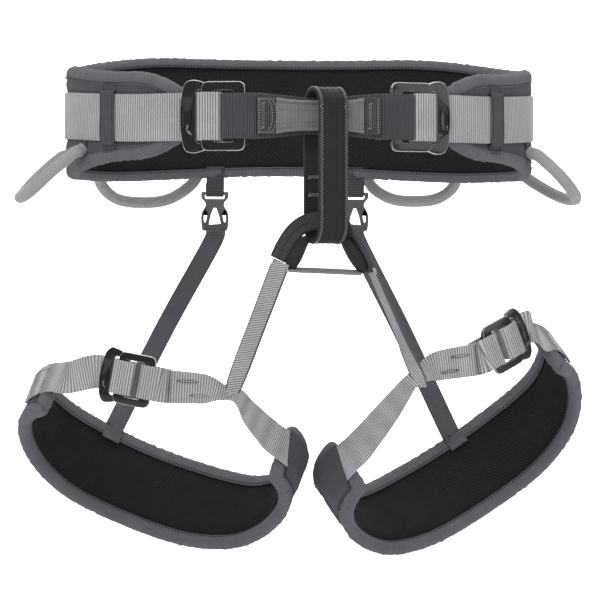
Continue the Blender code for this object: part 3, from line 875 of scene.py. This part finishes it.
def bowOutline(dims, half):
    # round at the outer edge, then tapering to just inside the slide's height
    length, bow, start, tight = dims["length"], dims["bow"], dims["start"], half - 3.6
    upper = [(1.2, half * 0.22), (1.9, half * 0.5), (3.4, half * 0.78), (6.2, half * 0.95), (bow - 2, half),
             (start - 2, half - 1.2), (start + 4, tight), (length * 0.7, tight), (length - 6, tight),
             (length - 1.2, tight - 3), (length, tight - 8), (length, tight * 0.4)]
    return [(x, y) for x, y in upper] + [(x, -y) for x, y in reversed(upper)]


def smoothOutline(points):
    place = sampleRoute([(x, y, 0) for x, y in points], 0.9, (), True)[0]
    return [(p[0], p[1]) for p in place]


def dent(obj, matrix, place, radii):
    # an oval hollow pressed into the plate
    mesh = bpy.data.meshes.new("hollow")
    bm = bmesh.new()
    bmesh.ops.create_uvsphere(bm, u_segments=40, v_segments=20, radius=1.0)
    fit = matrix @ Matrix.Translation(Vector(place) * mm) @ Matrix.Diagonal((*(r * mm for r in radii), 1))
    bmesh.ops.transform(bm, matrix=fit, verts=bm.verts)
    bmesh.ops.recalc_face_normals(bm, faces=bm.faces)
    bm.to_mesh(mesh)
    bm.free()
    mesh.materials.append(looks["metal"])
    tool = bpy.data.objects.new("hollow", mesh)
    scene.collection.objects.link(tool)
    mod = obj.modifiers.new("hollow", "BOOLEAN")
    mod.operation = "DIFFERENCE"
    mod.object = tool
    graph = bpy.context.evaluated_depsgraph_get()
    cut = bpy.data.meshes.new_from_object(obj.evaluated_get(graph))
    obj.modifiers.clear()
    obj.data = cut
    bpy.data.objects.remove(tool)


def makeBuckle(name, dims, matrix, body, slideBody):
    half, side = dims["height"] / 2, dims["side"]
    length, bar, bow = dims["length"], dims["bar"], dims["bow"]
    edge = smoothOutline(bowOutline(dims, half))
    hole = roundedOutline(bow, length - bar, side - half, half - side, 2.5, 2.5, 5)
    plate = flatPlate(name + "BuckleFrame", (edge, hole), dims["plate"], 0.8, matrix, "metal")
    dent(plate, matrix, (bow * 0.46, 0, dims["plate"] / 2 + 0.7), (bow * 0.33, half * 0.4, 2.9))
    trim = 1.6
    slideEdge = roundedOutline(dims["start"] - 1, length + 1, trim - half, half - trim, 5.5, 5.5)
    slideHole = roundedOutline(dims["start"] + bar, length - bar, side + trim / 2 - half,
                               half - side - trim / 2, 2.5, 2.5, 5)
    lift = dims["plate"] / 2 + fit["plateGap"] + dims["slide"] / 2
    slide = flatPlate(name + "BuckleSlide", (slideEdge, slideHole), dims["slide"], 0.8,
                      matrix @ Matrix.Translation((0, 0, lift * mm)), "metal")
    for piece, where in ((plate, body), (slide, slideBody)):
        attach(piece, where)
    return plate, slide


def makeWaistBuckles():
    for name, side in (("left", -1), ("right", 1)):
        plate, slide = makeBuckle(name + "Waist", waistBuckle, waistFrame(side), "root",
                                  name + "_waist_slide")
        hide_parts(name + "_waist_buckle_frame")
        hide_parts(name + "_waist_buckle_slide")
    print("waist buckles done")


makeWaistBuckles()


# waist webbing, front strap and tie-in strap

def makeWaistStraps():
    up = Vector((0, 0, 1))
    angles = [-135 + 6 * i for i in range(46)]
    over = [beltAt(a, strapHeight(a), 10.1 * mm) for a in angles]
    left, right = (inWorld(waistFrame(side), outerPath(waistBuckle)) for side in (-1, 1))
    band = strap("waistWebbing", left[::-1] + over + right, up, 38 * mm, 1.9, "light", 2.1, 0.2)
    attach(band, "root")
    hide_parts("waist_webbing")

    left, right = (inWorld(waistFrame(side), innerPath(waistBuckle)) for side in (-1, 1))
    middle = [Vector((x, -131, -8)) * mm for x in (-34, -12, 12, 34)]
    route = left + middle + right[::-1]
    ends = [36 * mm] * len(left)
    widths = ends + [34 * mm, 29 * mm, 29 * mm, 34 * mm] + ends
    band = strap("frontWebbing", route, up, widths, 1.7, "dark", 1.7, 0.14)
    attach(band, "root")
    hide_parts("front_webbing")

    makeTieIn(-131 - 1.8 - 0.4)
    print("waist straps done")


def makeTieIn(front):
    # two sewn tabs and, between them, a strap folded lengthwise with rolled edges
    up = Vector((0, 0, 1))
    for name, first, last in (("Left", -49, -28), ("Right", 31, 49)):
        steps = np.linspace(first, last, 5)
        route = [Vector((x, front + 0.2, -8)) * mm for x in steps]
        tab = strap("tieInTab" + name, route, up, 29.5 * mm, 1.5, "dark", 1.7, 0.12)
        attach(tab, "root")
    shape = ((-34, 0.1, 28), (-31, 0.25, 26.5), (-24, 0.6, 24.5), (-12, 1, 23), (12, 1, 22.5),
             (24, 0.9, 23.5), (31, 0.5, 26), (35, 0.15, 27.5))
    route = [Vector((x, front - 0.9 - rise * 3.9, -8)) * mm for x, rise, _ in shape]
    widths = [wide * mm for _, _, wide in shape]
    band = strap("tieInWebbing", route, up, widths, 1.8, "grey", 1.5, 0.12, wave=0.9)
    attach(band, "root")
    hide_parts("tie_in_webbing")
    for k, (edge, size) in enumerate(((-0.46, 1.5), (-0.2, 0.8), (0.2, 0.8), (0.46, 1.5))):
        line = [Vector((x, front - 1.7 - rise * 3.9, -8 + wide * edge)) * mm for x, rise, wide in shape]
        roll = sweep(f"tieInFold{k + 1}", line, size, "grey", 0.8)
        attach(roll, "root")

    def flat(shape):
        return [Vector((x, front - 0.9, -8 + z)) * mm for x, z in shape]

    tacks = [flat(zigzag(-44.5, -10, 10, 1.5, 0.6)), flat(zigzag(40.5, -10, 10, 1.4, 0.6))]
    sew("frontBarTacks", tacks, "thread", "paleThread", "root", "light_webbing", **{"Thread Radius": 0.32})
    arcs = []
    for k in range(2):
        arcs.append(flat([(-40.5 + 3.2 * k + 3.4 * math.cos(t), 11.5 * math.sin(t))
                          for t in np.linspace(-1.3, 1.3, 12)]))
    arcs.append(flat([(-47.6, z) for z in (-13, 0, 13)]))
    arcs.append(flat([(46.8, z) for z in (-13, 0, 13)]))
    arcs.append(flat([(x, -13) for x in (-47, -42, -36)]))
    arcs.append(flat([(x, 13) for x in (-47, -42, -36)]))
    sew("frontSeams", arcs, "stitch", "paleThread", "root", "dark_webbing",
        **{"Pitch": 2.1, "Stitch": 0.62, "Thread Radius": 0.24})


makeWaistStraps()


# gear loops

gearShapes = {
    # each point is degrees round the belt, height, and how far it stands out
    "left_side": ((-110, -30, 1.4), (-110, -32.5, 5), (-110, -34.5, 11), (-107, -49, 26),
                  (-101, -64, 36), (-93, -69, 39), (-85, -64, 36), (-79, -49, 26),
                  (-76, -34.5, 11), (-76, -32.5, 5), (-76, -30, 1.4)),
    "right_side": ((108, -30, 1.4), (108, -32.5, 5), (108, -34.5, 11), (106, -49, 26),
                   (100, -64, 36), (91, -69, 38), (82, -65, 32), (73, -51, 21),
                   (68, -36, 10.5), (68, -33, 5), (68, -30, 1.4)),
    "left_rear": ((-55, -32, 1.4), (-55, -35, 5), (-55, -38, 10), (-52, -54, 16),
                  (-46, -66, 18), (-38, -69, 18), (-30, -66, 18), (-24, -54, 16),
                  (-21, -38, 10), (-21, -35, 5), (-21, -32, 1.4)),
    "right_rear": ((48, -32, 1.4), (48, -35, 5), (48, -38, 10), (46, -54, 16),
                   (41, -64.5, 18), (34.5, -67, 18), (28, -64.5, 18), (23, -54, 16),
                   (21, -38, 10), (21, -35, 5), (21, -32, 1.4)),
}


def makeGearLoops():
    for name, shape in gearShapes.items():
        route = [beltAt(a, z * mm, (belt["pad"] + out) * mm) for a, z, out in shape]
        side, where = name.split("_")
        cord = sweep(f"{side}{where.title()}GearLoop", route, 4.9, "cord", 0.9, ridges=10, ridgeDepth=0.03)
        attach(cord, name + "_loop")
        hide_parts(name + "_gear_loop")
        for end, (a, z, _) in enumerate((shape[0], shape[-1])):
            patch = [beltAt(a, (z + dz) * mm, (belt["pad"] + out) * mm)
                     for dz, out in ((13, 0.6), (9, 0.8), (5, 1.2), (2, 2.2), (-1, 3.4), (-3, 3.9))]
            lean = beltAt(a + 1, 0, 0) - beltAt(a - 1, 0, 0)
            tabName = f"{side}{where.title()}LoopTab{end + 1}"
            tab = strap(tabName, patch, lean, 9 * mm, 1.0, "cloth", 1.1, 0.05)
            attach(tab, "root")
    print("gear loops done")


makeGearLoops()


# belay loop, leg bridge

belay = {"x": 5, "y": -135, "yaw": 18, "top": 13, "bottom": -107, "radius": 14, "width": 25, "thick": 3.3}


def belayRoute(radius):
    yaw = math.radians(belay["yaw"])
    normal = Vector((math.sin(yaw), -math.cos(yaw), 0))
    centre = Vector((belay["x"], belay["y"], 0)) * mm
    path = []
    for z, start in ((belay["top"] - belay["radius"], 0), (belay["bottom"] + belay["radius"], 180)):
        for k in range(9):
            angle = math.radians(start + 180 * k / 8)
            path.append(centre + normal * radius * mm * math.cos(angle)
                        + Vector((0, 0, z * mm + radius * mm * math.sin(angle))))
        # straight strands keep two points of their own so the curve stays flat
        level = -32 if start == 0 else -62
        path.append(centre + normal * (-radius if start == 0 else radius) * mm + Vector((0, 0, level * mm)))
    return path, Vector((math.cos(yaw), math.sin(yaw), 0))


def makeBelayLoop():
    path, across = belayRoute(belay["radius"])
    band = strap("belayLoop", path, across, belay["width"] * mm, belay["thick"], "loop",
                 1.5, 0.07, 0.5, True)
    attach(band, "belay")
    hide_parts("belay_loop")
    outer = belay["radius"] + belay["thick"] / 2 + 0.15
    path, across = belayRoute(outer)
    place, _, _, side, _ = strapFrames(path, across, 1.0, 1.1 * mm, True)
    lines = []
    for over in (-10.6, 10.6):
        line = [p + s * (over + (1.15 if i % 2 else -1.15)) * mm
                for i, (p, s) in enumerate(zip(place, side))]
        lines.append(line + line[:1])
    sew("belayEdgeThread", lines, "thread", "greyThread", "belay", "light_webbing",
        **{"Thread Radius": 0.32})
    rows = []
    for over in (-7.6, 7.6, -2.6, 2.6):
        line = [p + s * over * mm for p, s in zip(place, side)]
        rows.append(line + line[:1])
    sew("belayInnerSeams", rows, "stitch", "darkThread", "belay", "black_webbing",
        **{"Pitch": 2.3, "Stitch": 0.85, "Thread Radius": 0.24})
    yaw = math.radians(belay["yaw"])
    out = Vector((-math.sin(yaw), math.cos(yaw), 0))
    inside = (belay["radius"] - belay["thick"] / 2 - 0.2) * mm
    back = Vector((belay["x"], belay["y"], 0)) * mm + out * inside
    tacks = []
    for z in (-56, -70):
        tacks.append([back + across * over * mm + Vector((0, 0, (z + swing) * mm))
                      for swing, over in zigzag(0, -9, 9, 1.5, 0.6)])
    sew("belayBarTacks", tacks, "thread", "paleThread", "belay", "light_webbing", **{"Thread Radius": 0.3})
    print("belay loop done")


makeBelayLoop()


bridge = {
    # arch points are x, height and width; hints say which way the strap faces at each
    "arch": ((-33, -121, 13), (-32, -119, 13.5), (-28, -111, 14), (-23, -103, 14),
             (-17, -96.5, 14), (-9, -92, 14), (5, -90.5, 14), (15, -92, 14), (21.5, -97, 13),
             (27, -104.5, 12), (33, -114, 12), (39.4, -127, 12), (41.2, -131, 12)),
    "hints": [(0.001, 0, 1)] * 8 + [(0, -0.7, 0.75)] + [(0, -1, 0.5)] * 4,
    "left": ((-9.5, -104.5), (-12.8, -107.5), (-15.4, -111), (-18.2, -116),
             (-20.2, -120.5), (-22.6, -126), (-24.2, -129)),
    "right": ((18.4, -103.8), (21.4, -107.4), (24.4, -111.8), (28.4, -117.8),
              (31.4, -122.6), (34.4, -128), (36, -131)),
    "cross": ((-25, -128.6), (-19, -129.2), (-6, -129.8), (6, -130.2), (18, -130.8),
              (27, -131.2), (33, -131.4)),
}


def makeBridge():
    points = [Vector((x, belay["y"], z)) * mm for x, z, _ in bridge["arch"]]
    widths = [wide * mm for _, _, wide in bridge["arch"]]
    across = []
    for i, hint in enumerate(bridge["hints"]):
        run = points[min(i + 1, len(points) - 1)] - points[max(i - 1, 0)]
        across.append((Vector(hint) - run * (Vector(hint).dot(run) / run.dot(run))).normalized())
    band = strap("bridgeWebbing", points, across, widths, 2.7, "dark", 1.3, 0.08, wave=0.5)
    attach(band, "root")
    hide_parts("bridge_webbing")
    lines = []
    for face in (-1, 1):
        for over in (-5.7, 5.7):
            for end in (1, -1):
                row = [(end * (2 + k * 3), over) for k in range(13)]
                lines.append(onStrap(points, across, widths, 2.7, row, face))
        for x in (1.5, 8.0, -1.5, -8.0):
            lines.append(onStrap(points, across, widths, 2.7, [(x, -5.7), (x, 0), (x, 5.7)], face))
    sew("bridgeSeams", lines, "stitch", "darkThread", "root", "dark_webbing",
        **{"Pitch": 2.1, "Stitch": 0.8, "Thread Radius": 0.32})
    # a fold runs down the middle of each arm
    for name, first, last in (("Left", 0, 6), ("Right", 8, 13)):
        fold = [p + a * 1.2 * mm + Vector((0, -1.4, 0)) * mm
                for p, a in zip(points[first:last], across[first:last])]
        crease = sweep("bridgeFold" + name, fold, (1.1, 0.5), "dark", 0.8, hint=(0, -1, 0.01))
        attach(crease, "root")
    for name in ("left", "right"):
        route = [Vector((x, belay["y"] - 0.4, z)) * mm for x, z in bridge[name]]
        roll = sweep(name + "BridgeSleeve", route, (4.9, 5.4), "black", 0.8, False, (0, 1, 0), 5, 0.04,
                     [0.55, 0.85, 1.0, 1.12, 1.08, 0.85, 0.5])
        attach(roll, "root")
        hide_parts(name + "_bridge_sleeve")
    points = [Vector((x, belay["y"] + 1, z)) * mm for x, z in bridge["cross"]]
    band = strap("crossStrap", points, Vector((0, 1, 0.25)), 12 * mm, 2.2, "grey", 1.2, 0.08)
    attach(band, "root")
    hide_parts("cross_strap")
    print("bridge done")


makeBridge()


# leg loops

def legPressed(angle, z):
    under = abs(z) < 15 * mm and (angle < -80 or angle > 95)
    return 0.1 * mm if under else padLook["swell"] * mm


def makeLegPad(name, at, body):
    first, last, scale = legSize["outer"], legSize["inner"], 1.65
    shell = padShell(name + "LegPad", at, legSpan, first, last, 1.9, scale, legPressed)
    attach(shell, body)
    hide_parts(f"{name}_leg_lining", f"{name}_leg_foam", f"{name}_leg_cover")
    tape = binding(name + "LegBinding", at, legSpan, first, last, scale, 6.5, 6.2, 9.0)
    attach(tape, body)
    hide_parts(f"{name}_leg_binding")
    inside = seamLines(at, legSpan, first, last, scale, -4.6, -0.13)
    outside = seamLines(at, legSpan, first, last, scale, -4.4, 1.26)
    sew(name + "LegSeams", inside + outside, "stitch", "darkThread", body, "pad_fabric",
        **{"Pitch": 2.8, "Stitch": 1.05, "Thread Radius": 0.4})


def makeLegStraps(name, leg, at, body):
    side = leg["side"]
    outer, inner = legSize["outer"], legSize["inner"]

    def lifted(a):
        return at(a, ease(0, leg["strapLift"] * mm, (-a - 84) / 34), 10.1 * mm)

    before, start = lifted(outer - 6), lifted(outer - 14)
    end, last = (at(a, 0, 10.1 * mm) for a in (inner + 16, inner + 6))
    crossing = Vector(leg["crossing"]) * mm
    # the strap rises a little to the buckle, then falls to the crossing
    far, rise, tilt = leg["buckle"]
    along = (crossing - start).normalized()
    lean = (Vector((0, 0, 1)) - along * along.z).normalized()
    out = along.cross(lean) * -side
    origin = start + along * far * mm + lean * rise * mm - out * strapLevels(legBuckle)[0] * mm
    turn = Matrix.Rotation(math.radians(-tilt), 3, along.cross(lean))
    along, lean = turn @ along, turn @ lean
    matrix = frameAt(origin, along, lean, side)
    plate, slide = makeBuckle(name + "Leg", legBuckle, matrix, body, name + "_leg_slide")
    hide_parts(name + "_leg_buckle_frame")
    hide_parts(name + "_leg_buckle_slide")

    onPad = [lifted(a) for a in range(outer, -84, 7)][::-1]
    path = inWorld(matrix, outerPath(legBuckle))
    leads = [before, start] if far > 15 else [before]
    route = onPad + leads + path
    axis = (at(-100, 1, 0) - at(-100, 0, 0)).normalized()
    turning = [axis, axis + lean] if far > 15 else [axis * 2 + lean]
    across = [axis] * len(onPad) + turning + [lean] * len(path)
    band = strap(name + "LegOuterStrap", route, across, 27 * mm, 1.8, "light", 1.9, 0.2)
    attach(band, body)
    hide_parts(name + "_leg_outer_strap")

    onPad = [at(a, 0, 10.1 * mm) for a in range(inner, 98, -7)]
    path = inWorld(matrix, innerPath(legBuckle))
    axis = (at(120, 1, 0) - at(120, 0, 0)).normalized()
    # gathered where the riser goes round it
    route = path + [crossing - along * 24 * mm, crossing - along * 9 * mm, crossing + along * 3 * mm,
                    crossing.lerp(end, 0.45), end, last] + onPad
    mid = (lean + axis).normalized()
    across = [lean] * (len(path) + 1) + [mid, mid, axis + lean * 0.4, axis + lean * 0.2]
    across += [axis] * (len(onPad) + 1)
    widths = [27] * len(path) + [24, 13, 12, 20, 26] + [27] * (len(onPad) + 1)
    widths = [wide * mm for wide in widths]
    band = strap(name + "LegInnerStrap", route, across, widths, 1.9, "light", 1.9, 0.2, wave=1.6)
    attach(band, body)
    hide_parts(name + "_leg_inner_strap")
    makeLegDetail(name, route, across, widths, at, body)
    makeRiser(name, leg, crossing)


def makeLegDetail(name, route, across, widths, at, body):
    # bar tack and the two short worked slots between the buckle and the riser
    normal = strapFrames(route, across, widths, 0.5 * mm)[2]
    front = 1 if normal[int(len(normal) * 0.35)][1] < 0 else -1
    first = 54
    tack = onStrap(route, across, widths, 1.8, zigzag(first, -12, 12, 1.6, 0.62), front)
    sew(name + "LegBarTack", [tack], "thread", "darkThread", body, "light_webbing",
        **{"Thread Radius": 0.3})
    slots = []
    for x, over in ((first + 6, 5), (first + 17, -6)):
        oval = [(x + 8.5 + 8.5 * math.cos(t), over + math.sin(t))
                for t in np.linspace(0, math.tau, 25)]
        slots.append(onStrap(route, across, widths, 1.8, oval, front))
    sew(name + "LegSlots", slots, "thread", "darkThread", body, "light_webbing", **{"Thread Radius": 0.24})
    # cloth pocket that the strap goes into on the pad
    columns = [legSize["inner"] + 2 - 2 * i for i in range(17)]
    verts, uvs = [], []
    for i, angle in enumerate(columns):
        low, high = legSpan(min(angle, legSize["inner"]))
        low, high = low + 3 * mm, high - 3 * mm
        for j in range(13):
            share = j / 12
            skew = 9 * (1 - share) * max(0, 1 - i / 5)
            z = low + (high - low) * share
            hump = 11.9 if abs(z) < 15 * mm else 11.9 - 2.6 * min((abs(z) - 15 * mm) / (4 * mm), 1)
            verts.append(at(angle - skew + 4, z, (hump - (1.6 if i > 14 else 0)) * mm))
            uvs.append((angle * 1.65, z / mm))
    faces = [(i * 13 + j, i * 13 + j + 1, (i + 1) * 13 + j + 1, (i + 1) * 13 + j)
             for i in range(16) for j in range(12)]
    pocket = finishMesh(name + "LegPocket", verts, faces, uvs, ["cloth"])
    mod = pocket.modifiers.new("cloth", "SOLIDIFY")
    mod.thickness = 0.8 * mm
    mod.offset = 0
    fine = pocket.modifiers.new("fine", "SUBSURF")
    fine.levels = fine.render_levels = 1
    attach(pocket, body)


def makeRiser(name, leg, crossing):
    # straight down to the crossing, then under the leg strap and up behind it
    top = Vector(leg["riserTop"]) * mm
    low = crossing + Vector((0, -5, 7)) * mm
    run = (low - top).normalized()
    route = [top - run * 5 * mm, top + run * 4 * mm]
    route += [top.lerp(low, share) for share in (0.25, 0.5, 0.75, 0.93)]
    drop = 10.5 if leg["side"] < 0 else 14.5
    # how far past the crossing, then how far behind the leg strap
    turns = ((4, 0), (drop - 3, 1.0), (drop, 4.6), (drop - 3, 8.4), (4, 9.0), (-8, 6.5), (-22, 3.2))
    route += [low + run * down * mm + Vector((0, back * mm, 0)) for down, back in turns]
    turned, flat = Vector(leg["riserAcross"]), Vector((1, -0.1 * leg["side"], 0))
    shares = (0, 0, 0, 0, 0.1, 0.35, 0.8, 1, 1, 1, 1, 0.7, 0.3)
    across = [turned.lerp(flat, share).normalized() for share in shares]
    widths = [wide * mm for wide in (16, 16, 16, 15.5, 15, 13, 10, 8.5, 8, 8.5, 9, 10, 12)]
    band = strap(name + "FrontRiser", route, across, widths, 1.7, "light", 1.9, 0.2, skew=0.55)
    low = top + Vector((0, 0, -34 * mm))
    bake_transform(band)
    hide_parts(name + "_front_riser")
    # dark selvedges down both edges
    place, _, _, side, wide = strapFrames(route, across, widths, 1.5 * mm)
    keep = slice(3, int(len(place) * 0.72))
    for number, edge in enumerate((-0.5, 0.5)):
        line = [Vector(p + s * w * edge) for p, s, w in zip(place[keep], side[keep], wide[keep])]
        selvedge = sweep(f"{name}RiserEdge{number + 1}", line, 0.85, "elastic", 1.2)
        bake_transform(selvedge)


def makeRearRiser(name, leg, at, body):
    side = leg["side"]
    hookX, hookY = side * 61, 115
    profile = ((-4.6, -38), (-5.0, -46), (-4.2, -52), (-2.6, -60), (0, -63.2), (2.6, -60), (2.6, -52))
    tab = [Vector((hookX, hookY + y, z)) * mm for y, z in profile]
    band = strap(name + "HookTab", tab, Vector((1, 0, 0)), 15.5 * mm, 1.4, "dark", 1.2, 0.06)
    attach(band, "root")
    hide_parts(name + "_hook_tab")

    matrix = Matrix.Translation(Vector((hookX, hookY, 0)) * mm) @ Matrix.Rotation(math.pi / 2, 4, "X")
    edge = [(-11.5, -59.5), (-12, -62), (-11.5, -65), (-8.5, -68.5), (-7.8, -71), (-9.0, -73.5),
            (-11.2, -77), (-12, -82), (-11.6, -88), (-11, -92.2), (-9.5, -93.2)]
    edge = edge + [(-x, z) for x, z in reversed(edge)]
    slot = roundedOutline(-8.6, 8.6, -65.6, -61.6, 1.6, 1.6, 4)
    heart = [(-1.2, -73.5), (-3.6, -80), (-5.2, -87.5), (-4.2, -88.6)]
    heart = heart + [(-x, z) for x, z in reversed(heart)]
    eye = [(-8.3, -76.5), (-9.6, -80), (-9.6, -84), (-8.6, -86.5), (-7.6, -84.5), (-6.6, -80)]
    hook = flatPlate(name + "RearHook", (edge, slot, heart, eye, [(-x, z) for x, z in eye]), 4.6, 1.0,
                     matrix, "plastic")
    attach(hook, body)
    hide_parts(name + "_rear_hook")

    angle = leg["riserEnd"]
    high = legSpan(angle)[1]
    ends = [at(angle, high - d * mm, -1.8 * mm) for d in (9, 4, -2, -9)]
    top = Vector((hookX, hookY, -92.5)) * mm
    route = [top + Vector(move) * mm for move in ((0, -3.2, 5), (0, -3.4, 0), (side * 3, -1.5, -12))]
    route += [(top + ends[-1]) / 2] + ends[::-1]
    tangent = (at(angle + 2, high, 0) - at(angle - 2, high, 0)).normalized() * -side
    across = [Vector((1, 0, 0)).lerp(tangent, i / (len(route) - 1)) for i in range(len(route))]
    band = strap(name + "RearRiser", route, across, 16.5 * mm, 1.2, "elastic", 1.0, 0.05)
    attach(band, body)
    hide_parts(name + "_rear_riser")
    facing = 1 if strapFrames(route, across, 16.5 * mm, 0.5 * mm)[2][-4][1] < 0 else -1
    shape = [[(x, -7), (x, 0), (x, 7)] for x in (-2.0, -4.5)] + [[(9, -7), (9, 0), (9, 7)]]
    lines = [onStrap(route, across, 16.5 * mm, 1.2, line, facing) for line in shape]
    sew(name + "RearRiserSeams", lines, "stitch", "greyThread", body, "elastic",
        **{"Pitch": 1.7, "Stitch": 0.62, "Thread Radius": 0.24})


for legName, leg in legs.items():
    surface = legSurface(leg)
    legBody = legName + "_leg_loop"
    makeLegPad(legName, surface, legBody)
    makeLegStraps(legName, leg, surface, legBody)
    makeRearRiser(legName, leg, surface, legBody)
    print(legName, "leg done")


# studio

studio = {"centre": (0, 0, -0.153), "azimuth": -6.5, "distance": 2.6, "halfView": 0.249,
          "floorDrop": 0.05, "curveStart": 4.4, "curve": 1.2, "half": 6, "wallTop": 5}


def makeStudio():
    floor = cadBox[0][2] - studio["floorDrop"]
    start, curve, half = studio["curveStart"], studio["curve"], studio["half"]
    profile = [(-half, floor), (start, floor)]
    profile += [(start + curve * math.sin(t), floor + curve - curve * math.cos(t))
                for t in np.linspace(0.1, math.pi / 2, 14)]
    profile.append((start + curve, floor + studio["wallTop"]))
    verts = [(x, y, z) for y, z in profile for x in (-half, half)]
    faces = [(2 * i, 2 * i + 1, 2 * i + 3, 2 * i + 2) for i in range(len(profile) - 1)]
    mesh = bpy.data.meshes.new("paperSweep")
    mesh.from_pydata(verts, [], faces)
    mesh.shade_smooth()
    paper = Look("paleFloor", 0.9)
    paper.colour(paper.mixColour(paper.grain(4.0), (0.88, 0.88, 0.88), (0.92, 0.92, 0.92)))
    mesh.materials.append(paper.material)
    sweepObject = bpy.data.objects.new("paperSweep", mesh)
    scene.collection.objects.link(sweepObject)

    world = bpy.data.worlds.new("studio")
    world.use_nodes = True
    world.node_tree.nodes["Background"].inputs["Color"].default_value = (1, 1, 1, 1)
    world.node_tree.nodes["Background"].inputs["Strength"].default_value = 0.6
    scene.world = world
    # place, size and power; the last one lights the paper
    lamps = {"key": ((-1.3, -1.6, 1.5), 1.2, 34), "fill": ((1.7, -1.5, 0.5), 1.6, 16),
             "top": ((0, 0.2, 2.0), 1.8, 26), "rim": ((0.6, 1.5, 0.9), 1.0, 14),
             "paper": ((0, 3.2, 2.9), 2.4, 300)}
    for name, (place, size, power) in lamps.items():
        light = bpy.data.lights.new(name, "AREA")
        light.size = size
        light.energy = power
        lamp = bpy.data.objects.new(name, light)
        lamp.location = place
        target = Vector((0, start + curve, 0.2)) if name == "paper" else Vector(studio["centre"])
        lamp.rotation_euler = (target - Vector(place)).to_track_quat("-Z", "Y").to_euler()
        scene.collection.objects.link(lamp)

    azimuth = math.radians(studio["azimuth"])
    away = Vector((math.sin(azimuth), -math.cos(azimuth), 0))
    camera = bpy.data.objects.new("camera", bpy.data.cameras.new("camera"))
    camera.location = Vector(studio["centre"]) + away * studio["distance"]
    camera.rotation_euler = (-away).to_track_quat("-Z", "Y").to_euler()
    camera.data.lens_unit = "FOV"
    camera.data.angle = 2 * math.atan(studio["halfView"] / studio["distance"])
    scene.collection.objects.link(camera)
    scene.camera = camera
    scene.view_settings.view_transform = "Standard"


makeStudio()
